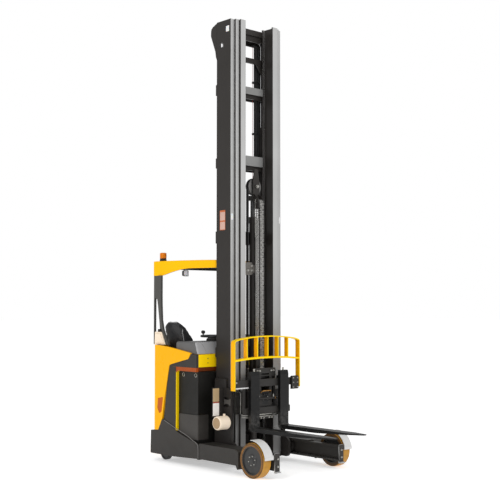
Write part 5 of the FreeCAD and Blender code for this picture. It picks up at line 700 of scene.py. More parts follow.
lamp_black = grained_plastic("lamp_black", (0.010, 0.010, 0.010), roughness=0.55)
BEACON_X, BEACON_Y = -1.172, -0.482
BASE_HEIGHT = 0.032
DRUM_RINGS = 12
beacon_low, beacon_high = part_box("beacon")
base_z = beacon_low.z + 0.0015
beacon_base = build(
    "beacon_base", lamp_black, "chassis", "dark_plastic",
    (turn_profile, [(0.0, 0.0), (0.0, 0.040), (0.010, 0.040), (0.014, 0.037), (0.030, 0.037),
                    (BASE_HEIGHT, 0.030), (BASE_HEIGHT, 0.0)], (BEACON_X, BEACON_Y, base_z), UP, 40))
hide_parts("beacon")
lens_height = beacon_high.z - base_z - BASE_HEIGHT
drum = [(0.0, 0.0), (0.0, 0.0375)]
for k in range(DRUM_RINGS):
    z = 0.004 + (lens_height - 0.014) * k / (DRUM_RINGS - 1)
    drum += [(z, 0.0380), (z + 0.002, 0.0374)]
drum += [(lens_height - 0.005, 0.0350), (lens_height - 0.001, 0.0290), (lens_height, 0.0)]
build("beacon_lens", moulded_lens("beacon_lens", (0.88, 0.24, 0.003), 60.0, "Z"), "chassis", "amber_lens",
      (turn_profile, drum, (BEACON_X, BEACON_Y, base_z + BASE_HEIGHT), UP, 48))

LAMP_FACE = Vector((-0.800, -0.448, 2.061))
LAMP_HALF_Y, LAMP_HALF_Z = 0.036, 0.033
PANE_STEPS = 12


def rounded_corners(half_wide, half_high, radius):
    """Points (across, up) round a rectangle with rounded corners."""
    outline = []
    for across, up, start in ((1, 1, 0), (-1, 1, 90), (-1, -1, 180), (1, -1, 270)):
        for a in (math.radians(start + 22.5 * step) for step in range(5)):
            outline.append((across * (half_wide - radius) + radius * math.cos(a),
                            up * (half_high - radius) + radius * math.sin(a)))
    return outline


housing = [
    [LAMP_FACE + Vector((-back, y, z))
     for y, z in rounded_corners(LAMP_HALF_Y - shrink, LAMP_HALF_Z - shrink, 0.008)]
    for back, shrink in ((0.0, 0.0), (0.004, 0.0), (0.034, 0.006), (0.048, 0.020))
]
stalk_x = LAMP_FACE.x - 0.024
stalk = [(stalk_x, -0.452, 2.088), (stalk_x, -0.456, 2.100), (stalk_x, -0.462, ROOF_BEAM_LOW + 0.030)]
lamp_piece = build("work_lamp_housing", lamp_black, "chassis", "dark_plastic", (loft, housing),
                   (sweep, stalk, 0.007, 10))
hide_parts("work_lamp")


def pane_point(i, j):
    """Point of the domed pane, which is flat along its rim."""
    a, b = i / PANE_STEPS * 2 - 1, j / PANE_STEPS * 2 - 1
    return LAMP_FACE + Vector((0.0005 + 0.004 * (1 - a * a) * (1 - b * b), (LAMP_HALF_Y - 0.006) * a,
                               (LAMP_HALF_Z - 0.006) * b))


def lamp_pane(shape):
    grid = [[shape.verts.new(pane_point(i, j)) for j in range(PANE_STEPS + 1)] for i in range(PANE_STEPS + 1)]
    for left, right in zip(grid, grid[1:]):
        for j in range(PANE_STEPS):
            shape.faces.new((left[j], right[j], right[j + 1], left[j + 1]))


build("work_lamp_pane", moulded_lens("lamp_pane", (0.86, 0.86, 0.88), 30.0, "Y"), "chassis", "dark_plastic",
      (lamp_pane,))
up_steps, down_steps = range(PANE_STEPS), range(PANE_STEPS, 0, -1)
rim = [pane_point(0, j) for j in up_steps] + [pane_point(i, PANE_STEPS) for i in up_steps]
rim += [pane_point(PANE_STEPS, j) for j in down_steps] + [pane_point(i, 0) for i in down_steps]
build("work_lamp_bezel", zinc, "chassis", "dark_plastic", (sweep, rim, 0.0018, 8, True))

# ---------------------------------------------------------------------------- operator's seat
# Sideways seat on a sheet-metal box: folded rubber bellows, pressed pan, and foam cushion and
# back in black synthetic leather, sewn in panels, with a pale piping round the back's edge.

SEAT_X = -0.978
SWELL_FRAMES = 20
bellows_rubber = grained_plastic("bellows_rubber", (0.010, 0.010, 0.010), roughness=0.62)
dress(bellows_rubber, "seat_base")
seat_leather = grained_plastic("seat_leather", (0.010, 0.010, 0.011), roughness=0.40, grain=520.0, depth=0.35,
                               sheen=0.08)
piping_leather = grained_plastic("piping_leather", (0.40, 0.40, 0.40), roughness=0.45, grain=600.0, depth=0.2)


def draw_in(mesh, depth):
    """Move each point of a mesh inwards by a depth worked out from its place and facing."""
    normals = [vertex.normal.copy() for vertex in mesh.vertices]
    for vertex, outward in zip(mesh.vertices, normals):
        vertex.co -= outward * depth(vertex.co, outward)


def evaluated(thing):
    return thing.evaluated_get(bpy.context.evaluated_depsgraph_get())


def stuffed(name, node, voxel, seams, crown=0.0):
    """Foam pad under leather: the solid, drawn in a little, remeshed, swollen, then sewn."""
    mesh = nodes[node].data.copy()
    mesh.materials.clear()
    mesh.materials.append(seat_leather)
    mesh.name = name
    pad = new_object(name, mesh)
    grid = pad.modifiers.new("grid", "REMESH")
    grid.mode = "VOXEL"
    grid.voxel_size = voxel
    pad.modifiers.new("even", "SMOOTH").iterations = 4
    fine = bpy.data.meshes.new_from_object(evaluated(pad))
    pad.modifiers.clear()
    pad.data = fine
    draw_in(fine, lambda point, outward: 0.006)
    top = max(vertex.co.z for vertex in fine.vertices)
    for vertex in fine.vertices:
        near_top = min(1.0, max(0.0, (vertex.co.z - top + crown) / crown)) if crown else 0.0
        vertex.co.x = SEAT_X + (vertex.co.x - SEAT_X) * math.sqrt(1.0 - 0.55 * near_top ** 3.4)
    cloth = pad.modifiers.new("filling", "CLOTH")
    cloth.settings.use_pressure = True
    cloth.settings.uniform_pressure_force = 4.0
    cloth.settings.effector_weights.gravity = 0.0
    cloth.point_cache.frame_start = 1
    cloth.point_cache.frame_end = SWELL_FRAMES
    for moment in range(1, SWELL_FRAMES + 1):
        bpy.context.scene.frame_set(moment)
    goals = [vertex.co.copy() for vertex in evaluated(pad).data.vertices]
    pad.modifiers.clear()
    bpy.context.scene.frame_set(1)
    for vertex, goal in zip(fine.vertices, goals):
        step = goal - vertex.co
        vertex.co += step * min(1.0, 0.011 / max(step.length, 1e-9))
    fine.update()
    draw_in(fine, seams)
    fine.update()
    fine.shade_smooth()
    finer = pad.modifiers.new("finer", "SUBSURF")
    finer.levels = 1
    finer.render_levels = 1
    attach(pad, "chassis")
    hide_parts(node)
    return pad


def valley(distance, width):
    """How deep a sewn line pulls the leather in at a distance from it, from 0 to 1."""
    return math.exp(-(distance / width) ** 2)


def panel_seams(across, half_panel, along, lines):
    """Two lines beside the bolsters, and channels across the panel between them."""
    pull = valley(across - half_panel, 0.006)
    if across < half_panel:
        pull = max(pull, *(valley(along - line, 0.007) for line in lines))
    return 0.006 * pull


def cushion_seams(point, outward):
    """Seams of the cushion's top."""
    if outward.z < 0.3:
        return 0.0
    return panel_seams(abs(point.x - SEAT_X), 0.088, point.y, (-0.205, -0.130, -0.055))


def back_seams(point, outward):
    """The same panel on the backrest's front, and a line round its rear shell."""
    across = abs(point.x - SEAT_X)
    if outward.y > 0.3:
        return panel_seams(across, 0.080, point.z, (1.10, 1.19, 1.28, 1.37, 1.46))
    return 0.004 * valley(across - 0.112, 0.006) if outward.y < -0.5 else 0.0


seat_cushion_pad = stuffed("seat_cushion_pad", "seat_cushion", 0.0055, cushion_seams)
seat_back_pad = stuffed("seat_back_pad", "seat_back", 0.0065, back_seams, 0.17)


def piping(name, pad, path, towards, radius):
    """Bead that follows a path laid on a pad, found by looking at the pad along a direction."""
    skin = evaluated(pad)
    ahead = Vector(towards)
    hits = [skin.ray_cast(Vector(point) - ahead * 0.6, ahead) for point in path]
    build(name, piping_leather, "chassis", "seat_leather",
          (sweep, [place for hit, place, _, _ in hits if hit], radius, 8))


back_low, back_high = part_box("seat_back")
back_edge = []
for swing in (math.pi * k / 80.0 for k in range(81)):
    half_x = 0.146 - 0.022 * math.sin(swing) ** 4
    x = SEAT_X - half_x * math.cos(swing) / max(abs(math.cos(swing)), abs(math.sin(swing)) ** 3)
    rise = min(1.0, 1.25 * math.sin(swing))
    back_edge.append((x, -0.45, back_low.z + 0.10 + (back_high.z - back_low.z - 0.125) * rise))
piping("seat_back_piping", seat_back_pad, back_edge, LEFT, 0.0035)
cushion_edge = [(SEAT_X + 0.140 * math.cos(a), -0.115 + 0.140 * math.sin(a), 1.0)
                for a in (math.radians(-60 + 5 * k) for k in range(61))]
piping("seat_cushion_piping", seat_cushion_pad, cushion_edge, (0, 0, -1), 0.0028)

# --------------------------------------------------------------------- floor, wheel, console
# Ribbed rubber mat and rubber pedal pads, a small steering wheel with a spinner knob, and the
# console with fingertip levers, each standing in a rubber gaiter.

floor_rubber = grained_plastic("floor_rubber", (0.013, 0.013, 0.013), roughness=0.7)
dress(floor_rubber, "floor_and_pedals")
floor_low, floor_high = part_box("floor_and_pedals")
MAT_Z = 0.5203
build("floor_mat_ribs", floor_rubber, "chassis", "floor_rubber",
      *((sweep, [(floor_low.x + 0.04, y, MAT_Z), (floor_high.x - 0.05, y, MAT_Z)], 0.0018, 6)
        for y in (0.335 + 0.0095 * k for k in range(26))))
tread_ribs = []
for x, width in ((-1.004, 0.070), (-0.894, 0.056)):
    for t in (0.12 + 0.15 * k for k in range(6)):
        y, z = 0.372 + 0.110 * t, 0.588 + 0.050 * t
        tread_ribs.append((sweep, [(x - width * 0.42, y, z), (x + width * 0.42, y, z)], 0.0022, 6))
build("pedal_ribs", bellows_rubber, "chassis", "floor_rubber", *tread_ribs)

wheel_plastic = grained_plastic("wheel_plastic", (0.014, 0.014, 0.014), roughness=0.38, grain=1100.0)
dress(wheel_plastic, "steering_wheel", "control_console")
WHEEL_X, WHEEL_Y = -0.624, -0.190
KNOB_REACH = 0.140
knob_turn = math.radians(20.0)
wheel_low, wheel_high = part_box("steering_wheel")
build("steering_centre_cap", charcoal_paint, "chassis", "dark_plastic",
      (turn_profile, [(0.0, 0.036), (0.002, 0.035), (0.0035, 0.028), (0.0030, 0.012), (0.0030, 0.0)],
       (WHEEL_X, WHEEL_Y, wheel_low.z + 0.0617), UP, 40),
      (turn_profile, [(0.0, 0.0), (0.0, 0.088), (0.020, 0.086), (0.036, 0.066), (0.046, 0.040), (0.046, 0.0)],
       (WHEEL_X, WHEEL_Y, wheel_low.z + 0.001), UP, 40))
knob_x = WHEEL_X - KNOB_REACH * math.cos(knob_turn)
knob_y = WHEEL_Y - KNOB_REACH * math.sin(knob_turn)
build("spinner_grip", wheel_plastic, "chassis", "dark_plastic",
      (turn_profile, [(0.0, 0.0), (0.0, 0.0135), (0.008, 0.0215), (0.020, 0.0235), (0.030, 0.0205),
                      (0.036, 0.011), (0.037, 0.0)], (knob_x, knob_y, wheel_high.z - 0.035), UP, 28))
build("spinner_collar", zinc, "chassis", "dark_plastic",
      (turn_profile, [(0.0, 0.0082), (0.0, 0.0115), (0.005, 0.0115), (0.006, 0.0082)],
       (knob_x, knob_y, wheel_low.z + 0.072), UP, 24))
GAITER = [(0.0, 0.017), (0.003, 0.017), (0.004, 0.013), (0.007, 0.0145), (0.009, 0.0105), (0.012, 0.012),
          (0.014, 0.008), (0.017, 0.009), (0.019, 0.0042)]
build("lever_gaiters", bellows_rubber, "chassis", "dark_plastic",
      *((turn_profile, GAITER, (-0.6328, 0.110 + 0.050 * k, 1.3802), UP, 20) for k in range(4)))

# ---------------------------------------------------------------------------------- mast rails
# Three nested stages of rolled I and channel sections, painted dark warm grey. Their front
# flanges get a light grey finish as a painted highlight of the light from ahead, darker towards
# the bottom as painted shade, and the faces the rollers run on are rubbed bare.

mast_paint = coated_steel("mast_paint", (0.026, 0.023, 0.021), roughness=0.40, cloud=0.08, wear=0.25)
# Light grey copy of the rails' paint for the front flanges: a painted highlight.
flange_highlight = coated_steel("flange_highlight", (0.40, 0.40, 0.395), roughness=0.34, cloud=0.06, wear=0.0,
                            gloss=0.6)
RAIL_MIDDLE = 0.09
LIFT_ROD_X, LIFT_ROD_Y = -0.340, 0.250


def shade_below(material, lit_z, shaded_z, darkest):
    """Painted shade on a finish: it darkens from a lit height down to a shaded one."""
    look = Finish(material)
    dirt_and_shade = look.spread(look.axis("Z"), lit_z, shaded_z, 0.0, 0.8)
    look.coat({"Base Color": look.mix(dirt_and_shade, look.coated_with(), darkest)})


def near_axis(first, second, radius):
    """True within a radius of an axis that is so far away in its two directions."""
    return first ** 2 + second ** 2 < radius ** 2


# The flanges' painted highlight gets darker towards the bottom: painted shade.
shade_below(flange_highlight, 2.4, 0.3, (0.09, 0.088, 0.085))
rod_chrome = coated_steel("rod_chrome", (0.62, 0.62, 0.63), roughness=0.10, cloud=0.04, peel=0.0, wear=0.0,
                          metal=1.0)
dress(mast_paint, "outer_rails", "outer_crossmembers", "middle_rails", "middle_crossmembers", "inner_rails",
      "inner_crossmembers", "lift_cylinders", "reach_carriage", "free_lift_cylinder", "free_lift_head")
# Front faces of the flanges take the painted highlight; the faces the rollers run on are rubbed bare.
for rail_name in ("outer_rails", "middle_rails", "inner_rails"):
    rail_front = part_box(rail_name)[1].x
    dress_where(rail_name, flange_highlight,
                lambda middle, normal: normal.x > 0.93 and middle.x > rail_front - 0.004)
    dress_where(rail_name, worn_steel,
                lambda middle, normal: abs(normal.x) > 0.93 and middle.z > 0.9
                and normal.x * (middle.x - rail_front + RAIL_MIDDLE) < 0
                and abs(middle.x - rail_front + RAIL_MIDDLE) > 0.06)
dress_where("middle_crossmembers", rod_chrome,
            lambda middle, normal: middle.z < 4.64
            and near_axis(middle.x - LIFT_ROD_X, abs(middle.y) - LIFT_ROD_Y, 0.0205))
dress_where("outer_crossmembers", rod_chrome, lambda middle, normal: middle.x < -0.40 and middle.z < 0.20)

BEAD_CORNERS = 6


def weld_bead(shape, start, end, radius):
    """Rippled fillet weld from one point to another."""
    start, end = Vector(start), Vector(end)
    ripples = max(3, int((end - start).length / 0.006))
    points = [start.lerp(end, k / ripples) for k in range(ripples + 1)]
    sweep(shape, points, radius, BEAD_CORNERS)
    first = len(shape.verts) - BEAD_CORNERS * len(points)
    shape.verts.ensure_lookup_table()
    for k, centre in enumerate(points):
        swell = 1.0 + (0.16 if k % 2 else -0.10)
        for vertex in shape.verts[first + k * BEAD_CORNERS:first + (k + 1) * BEAD_CORNERS]:
            vertex.co = centre + (vertex.co - centre) * swell


weld_paint = coated_steel("weld_paint", (0.029, 0.026, 0.024), roughness=0.45, cloud=0.10, wear=0.0)
OUTER_WELD_X = -0.3765
outer_beads = [
    (weld_bead, (OUTER_WELD_X, side * 0.366, z), (OUTER_WELD_X, side * 0.300, z), 0.0035)
    for low, high in ((1.15, 1.26), (2.375, 2.505), (3.190, 3.300), (3.985, 4.105))
    for side in (-1, 1) for z in (low - 0.003, high + 0.003)
]
build("mast_outer_welds", weld_paint, "mast_outer", "mast_paint", *outer_beads, smooth_angle=60.0)
for stage_name, x, half, levels in (
    ("mast_middle", -0.2865, 0.242, ((1.170, 1.250), (2.385, 2.500), (3.195, 3.300), (3.990, 4.100))),
    ("mast_inner", -0.2585, 0.194, ((1.180, 1.250), (2.370, 2.510), (3.240, 3.350), (4.035, 4.115))),
):
    build(stage_name + "_welds", weld_paint, stage_name, "mast_paint",
          *((weld_bead, (x, side * half, low), (x, side * half, high), 0.0035)
            for low, high in levels for side in (-1, 1)), smooth_angle=60.0)

# Blank decals on the right rail's web, and the small white reflectors on the rails' edges.
decal_white = coated_steel("decal_white", (0.60, 0.38, 0.31), roughness=0.32, cloud=0.03, peel=0.01, wear=0.0)
decal_red = coated_steel("decal_red", (0.52, 0.13, 0.04), roughness=0.32, cloud=0.05, peel=0.01, wear=0.0)
reflector_white = moulded_lens("reflector_white", (0.92, 0.92, 0.91), 60.0, "Z")
DECAL_X = -0.275
WEB_FACE_Y = -0.3701


def sticker(shape, place, across, half_wide, half_high, radius, lift):
    """Rounded upright plate of film, a little proud of the paint, with its cut edge."""
    across, up = Vector(across), Vector(UP)
    outline = [across * a + up * b for a, b in rounded_corners(half_wide, half_high, radius)]
    raised = Vector(place) + across.cross(up) * lift
    loft(shape, [[Vector(place) + point for point in outline], [raised + point * 0.995 for point in outline]],
         caps=(-1,))


build("decal_border", decal_red, "mast_outer", "mast_paint",
      (sticker, (DECAL_X, WEB_FACE_Y, 2.6205), AHEAD, 0.044, 0.1065, 0.004, 0.0003))
build("decal_panels", decal_white, "mast_outer", "mast_paint",
      *((sticker, (DECAL_X, WEB_FACE_Y - 0.0003, z), AHEAD, 0.039, high, 0.003, 0.0002)
        for z, high in ((2.663, 0.045), (2.561, 0.041))))
build("mast_top_film", reflector_white, "mast_outer", "mast_paint",
      (sticker, (-0.197, WEB_FACE_Y - 0.0003, 4.690), AHEAD, 0.025, 0.031, 0.003, 0.0003))
build("rail_reflectors", reflector_white, "mast_outer", "mast_paint",
      *((sticker, (-0.1459, side * 0.346, 2.6515), LEFT, 0.015, 0.035, 0.003, 0.0006) for side in (-1, 1)))

# Clamp that ties the middle cylinder to the inner stage: a band round the tube with one ear.
CYLINDER_X = -0.197
CLAMP_BAND = [(0.0, 0.0425), (0.0, 0.0465), (0.003, 0.0475), (0.082, 0.0475), (0.085, 0.0465),
              (0.085, 0.0425)]
CLAMP_EAR = [(-0.150, 2.048), (-0.150, 2.155), (-0.128, 2.172), (-0.050, 2.172), (-0.036, 2.150),
             (-0.036, 2.050), (-0.060, 2.036), (-0.130, 2.036)]
clamp_paint = coated_steel("clamp_paint", (0.135, 0.125, 0.112), roughness=0.4, cloud=0.2, wear=0.5)
build("cylinder_clamp", clamp_paint, "mast_inner", "mast_paint",
      (turn_profile, CLAMP_BAND, (CYLINDER_X, 0.0, 2.062), UP, 48),
      (loft, [[(x, y, z) for y, z in CLAMP_EAR] for x in (-0.166, -0.159)]), smooth_angle=30.0)
hex_bolts("cylinder_clamp_bolts", [(-0.159, -0.060, 2.086), (-0.159, -0.110, 2.086), (-0.159, -0.060, 2.135)],
          AHEAD, 0.024, zinc, "mast_inner", "mast_paint")

# Cross ties: the second from the top is set lower on all three stages, and the inner stage's
# upper ties are shallow plates with a grey front.
tie_face = coated_steel("tie_face", (0.24, 0.24, 0.235), roughness=0.36, cloud=0.25, wear=0.0)
for stage, moves in (
    ("outer", ((3.355, 3.455, 3.190, 3.300),)),
    ("middle", ((3.360, 3.455, 3.195, 3.300),)),
    ("inner", ((3.350, 3.458, 3.240, 3.350), (3.978, 4.112, 4.035, 4.115))),
):
    ties = nodes[stage + "_crossmembers"].data.copy()
    ties.name = stage + "_ties"
    for low, high, new_low, new_high in moves:
        for vertex in ties.vertices:
            if low - 0.002 < vertex.co.z < high + 0.002:
                vertex.co.z = new_low + (new_high - new_low) * (vertex.co.z - low) / (high - low)
    ties.update()
    recoat(ties, tie_face,
           lambda middle, normal: stage == "inner" and normal.x > 0.9 and 3.1 < middle.z < 4.2)
    tie_piece = new_object(stage + "_ties", ties)
    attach(tie_piece, "mast_" + stage)
    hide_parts(stage + "_crossmembers")

# Hoses and a thin red cable in clamps beside the left lift cylinder, and dark strips over the
# edges of the middle rails' flanges: painted shade that widens the gaps between the stages.
HOSES_X = -0.345
hose_black = grained_plastic("mast_hose_rubber", (0.014, 0.014, 0.014), roughness=0.5)
cable_red = grained_plastic("cable_red", (0.30, 0.035, 0.03), roughness=0.5)
build("mast_hoses", hose_black, "mast_middle", "hose_rubber",
      *((sweep, [(HOSES_X, y, z) for z in (3.08, 3.85, 4.62)], 0.0125, 12) for y in (0.163, 0.1895, 0.216)),
      *((block, (HOSES_X - 0.013, 0.128, z - 0.012), (HOSES_X + 0.013, 0.232, z + 0.012), 0.003)
        for z in (3.10, 3.62, 4.20, 4.61)))
build("mast_cable", cable_red, "mast_middle", "hose_rubber",
      (sweep, [(HOSES_X, 0.131, z) for z in (3.09, 3.85, 4.62)], 0.0022, 8))
rail_low, rail_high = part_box("middle_rails")
# Dark strips on the flange edges: painted shade in the gaps between the stages.
build("middle_flange_shade_strips", mast_paint, "mast_middle", "mast_paint",
      *((block, (rail_high.x - 0.004, side * 0.2535, rail_low.z + 0.03),
         (rail_high.x + 0.0008, side * 0.2740, rail_high.z - 0.01), 0.0006) for side in (-1, 1)))

# ------------------------------------------------------------- reach carriage and accumulator
# Plate sides on rollers that run in the legs, with a pale guide arm and a blank rating plate on
# a bracket, and the cream pressure vessel of the hydraulics, whose end face is painted darker
# tan as painted shade.

arm_paint = coated_steel("arm_paint", (0.085, 0.080, 0.074), roughness=0.38, cloud=0.15, wear=0.3)
dress_where("reach_carriage", arm_paint,
            lambda middle, normal: middle.y < -0.403 and -0.215 < middle.x < -0.095
            and 0.645 < middle.z < 0.74)
for row_name, low, high, colour in (
    ("rating_plate_upper", 0.700, 0.838, (0.50, 0.36, 0.20)),
    ("rating_plate_line", 0.686, 0.698, (0.42, 0.10, 0.06)),
    ("rating_plate_lower", 0.552, 0.684, (0.86, 0.82, 0.78)),
):
    film = coated_steel(row_name + "_film", colour, roughness=0.35, cloud=0.06, wear=0.0)
    build(row_name, film, "mast_outer", "mast_paint",
          (sticker, (-0.2178, -0.5055, (low + high) / 2), LEFT, 0.0425, (high - low) / 2, 0.004, 0.0006))
accumulator_end_shade = coated_steel("accumulator_end_painted_shade", (0.40, 0.27, 0.15), cloud=0.2, wear=0.3)
dress(cream_paint, "accumulator")
# The vessel's end face takes a darker tan copy of the cream: painted shade.
dress_where("accumulator", accumulator_end_shade, lambda middle, normal: normal.y < -0.95 and middle.y < -0.545)

# --------------------------------------------------------------------------- pulleys and head
# Cast pulleys on the rod head: rubbed bright where chain and hoses run, painted on the cheeks.

pulley_iron = coated_steel("pulley_iron", (0.16, 0.155, 0.15), roughness=0.36, cloud=0.2, wear=0.4, metal=0.4)
dark_rod = coated_steel("oiled_rod", (0.10, 0.10, 0.10), roughness=0.2, cloud=0.2, peel=0.0, wear=0.0,
                        metal=0.6)
dress(pulley_iron, "head_pulleys")
dress_where("free_lift_head", dark_rod,
            lambda middle, normal: middle.z < 2.85 and near_axis(middle.x - CYLINDER_X, middle.y, 0.0285))
GUARD_X, GUARD_Y = -0.112, -0.0445
guard_rod = [(GUARD_X, GUARD_Y, 2.440 + 0.40 * k / 16) for k in range(17)]
guard_rod += [(GUARD_X, GUARD_Y + 0.016 * (1 - math.cos(a)), 2.840 + 0.022 * math.sin(a))
              for a in (math.radians(15 * k) for k in range(1, 13))]
build("chain_guard_rod", zinc, "free_lift_head", "mast_paint", (sweep, guard_rod, 0.0028, 8))
hex_bolts("head_axle_bolt", [(-0.1295, 0.0, 3.0)], AHEAD, 0.030, zinc, "free_lift_head", "mast_paint")

# ------------------------------------------------------------------------- leaf chain, hoses
# Leaf chain: oiled steel plates on riveted pins, over the sheave. Each strand is two chains
# laced through each other, one held at each end, so that the strand shortens as the mast lifts.

CHAIN_PITCH = 0.0254
CHAIN_FRONT_X, CHAIN_REAR_X = -0.0578, -0.1302
CHAIN_LOW, CHAIN_TOP = 1.040, 2.805
SHEAVE_X, SHEAVE_Z = -0.094, 2.81
PLATE_HALF = 0.00145
LINK_HALF = 0.0082
PIN_HALF = 0.0248
ARC_LINKS = 5
all_slots = [-0.0217 + 0.0062 * k for k in range(8)]
lower_slots = [all_slots[k] for k in (0, 1, 4, 5)]
upper_slots = [all_slots[k] for k in (2, 3, 6, 7)]
chain_steel = coated_steel("chain_steel", (0.50, 0.49, 0.47), roughness=0.30, cloud=0.25, peel=0.02, wear=0.0,
                           metal=0.75, edge=0.0006)


def link_plate(shape, low, along, flat, y):
    """Figure-of-eight side plate of one link: two round ends and a slight waist."""
    along, flat = Vector(along), Vector(flat)
    outline = []
    for end, start, waist in ((CHAIN_PITCH, 0, -0.40), (0.0, 180, 0.40)):
        for a in (math.radians(start + 36 * k) for k in range(6)):
            outline.append(flat * LINK_HALF * math.cos(a) + along * (end + LINK_HALF * math.sin(a)))
        outline.append(flat * LINK_HALF * waist + along * CHAIN_PITCH / 2)
    loft(shape, [[Vector(low) + point + Vector((0, y + offset, 0)) for point in outline]
                 for offset in (-PLATE_HALF, PLATE_HALF)])


def chain_link(shape, k, low, along, flat, slots, pin_radius):
    """The plates of link number k, which alternate from link to link, and its first pin."""
    for place, y in enumerate(slots):
        if (place // 2 + k) % 2 == 0 or place % 2 == 0:
            link_plate(shape, low, along, flat, y)
    chain_pin(shape, low, pin_radius)


def chain_pin(shape, place, radius):
    turn_profile(shape, [(-PIN_HALF, 0.0), (-PIN_HALF, radius), (PIN_HALF, radius), (PIN_HALF, 0.0)],
                 place, LEFT, 8)


def chain_piece(name, x, low, high, slots, pin_radius, body, stands_for):
    """Straight run of leaf chain between two heights, built up link by link."""
    count = int(round((high - low) / CHAIN_PITCH))
    step = (high - low) / count
    links = [(chain_link, k, (x, 0, low + step * k), (0, 0, step / CHAIN_PITCH), AHEAD, slots, pin_radius)
             for k in range(count)]
    piece = build(name, chain_steel, body, "chain_steel", *links, (chain_pin, (x, 0, high), pin_radius),
                  smooth_angle=30.0)
    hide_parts(stands_for)
    return piece


front_low = chain_piece("chain_front_lower", CHAIN_FRONT_X, CHAIN_LOW, CHAIN_TOP, lower_slots, 0.0040,
                        "fork_carriage", "lift_chain")
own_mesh(front_low)
front_high = chain_piece("chain_front_upper", CHAIN_FRONT_X, CHAIN_LOW, CHAIN_TOP, upper_slots, 0.0039,
                         "free_lift_head", "lift_chain")
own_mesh(front_high)
chain_piece("chain_rear_lower", CHAIN_REAR_X, 1.295, 2.640, lower_slots, 0.0040, "mast_inner", "chain_rear")
chain_piece("chain_rear_upper", CHAIN_REAR_X, 1.150, CHAIN_TOP, upper_slots, 0.0039, "free_lift_head",
            "chain_rear")
arc_radius = (CHAIN_FRONT_X - CHAIN_REAR_X) / 2
bends = [math.pi * k / ARC_LINKS for k in range(ARC_LINKS + 1)]
joints = [Vector((SHEAVE_X + arc_radius * math.cos(a), 0, SHEAVE_Z + arc_radius * math.sin(a)))
          for a in bends]
arc = []
for k, (start, end) in enumerate(zip(joints, joints[1:])):
    along = (end - start) / CHAIN_PITCH
    arc.append((chain_link, k, start, along, Vector((along.z, 0, -along.x)).normalized(), all_slots, 0.004))
build("chain_over_sheave", chain_steel, "free_lift_head", "chain_steel", *arc, smooth_angle=30.0)

HOSE_Y = 0.086
HOSE_PAIR_X = (-0.180, -0.202)
HOSE_LOW, HOSE_TOP = 0.985, 3.0
hose_rubber = grained_plastic("hose_rubber", (0.011, 0.010, 0.010), roughness=0.45, grain=1400.0, depth=0.15)


def hose_run(name, y, low, high, radius, body, node):
    """Two hydraulic hoses side by side, with a faint moulded line of rings along them."""
    length = high - low
    count = int(length / 0.02)
    rings = [(length * k / count, radius - (0.00015 if k % 2 else 0.0)) for k in range(count + 1)]
    piece = build(name, hose_rubber, body, "hose_rubber",
                  *((turn_profile, [(0.0, 0.0), *rings, (length, 0.0)], (x, y, low), UP, 14)
                    for x in HOSE_PAIR_X), smooth_angle=60.0)
    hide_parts(node)
    return piece


low_hoses = hose_run("hoses_front_lower", -HOSE_Y, HOSE_LOW, HOSE_TOP, 0.0080, "fork_carriage", "hose_front")
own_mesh(low_hoses)
high_hoses = hose_run("hoses_front_upper", -HOSE_Y, HOSE_LOW, HOSE_TOP, 0.0076, "free_lift_head",
                      "hose_front")
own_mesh(high_hoses)
hose_run("hoses_rear_lower", HOSE_Y, 1.290, 2.835, 0.0080, "mast_inner", "hose_rear")
hose_run("hoses_rear_upper", HOSE_Y, 1.335, HOSE_TOP, 0.0076, "free_lift_head", "hose_rear")
hose_turns = [math.pi * k / 24 for k in range(25)]
build("hoses_over_pulley", hose_rubber, "free_lift_head", "hose_rubber",
      *((sweep, [(x, HOSE_Y * math.cos(a), HOSE_TOP + HOSE_Y * math.sin(a)) for a in hose_turns], 0.0076, 14)
        for x in HOSE_PAIR_X))
FERRULE = [(0.0, 0.0), (0.0, 0.0098), (0.018, 0.0098), (0.020, 0.0104), (0.050, 0.0100), (0.052, 0.0082)]
build("hose_ferrules", zinc, "fork_carriage", "chain_steel",
      *((turn_profile, FERRULE, (x, -HOSE_Y, HOSE_LOW + 0.0005), UP, 16) for x in HOSE_PAIR_X))

# -------------------------------------------------------------- fork carriage and tilt frame
# Welded carriage with its guide rollers, the tilting frame on its pivot, and the fork bars that
# slide on it: dark paint, with bright bolts, pins and cylinder rods.

SHIFT_X, SHIFT_Z = 0.0136, 0.720
carriage_paint = coated_steel("carriage_paint", (0.028, 0.026, 0.024), cloud=0.15, wear=0.45)
dress(carriage_paint, "fork_carriage", "tilt_frame", "fork_bars")
dress_where("fork_carriage", worn_steel, lambda middle, normal: abs(middle.y) > 0.193 and abs(normal.y) < 0.9)
dress_where("fork_bars", rod_chrome,
            lambda middle, normal: abs(middle.z - SHIFT_Z) < 0.0085 and abs(normal.y) < 0.9
            and abs(middle.y) < 0.21 and middle.x < 0.034)
dress_where("tilt_frame", rod_chrome,
            lambda middle, normal: near_axis(abs(middle.y) - 0.070, middle.z - 0.620, 0.0135)
            and abs(normal.x) < 0.5)
hex_bolts("chain_anchor_nuts", [(-0.0468, side * 0.014, 1.012) for side in (-1, 1)], AHEAD, 0.013, zinc,
          "fork_carriage", "chain_steel")
hex_bolts("hose_ledge_bolts", [(-0.190, -0.148, 0.9852), (-0.190, -0.126, 0.9852)], UP, 0.017, zinc,
          "fork_carriage", "chain_steel")

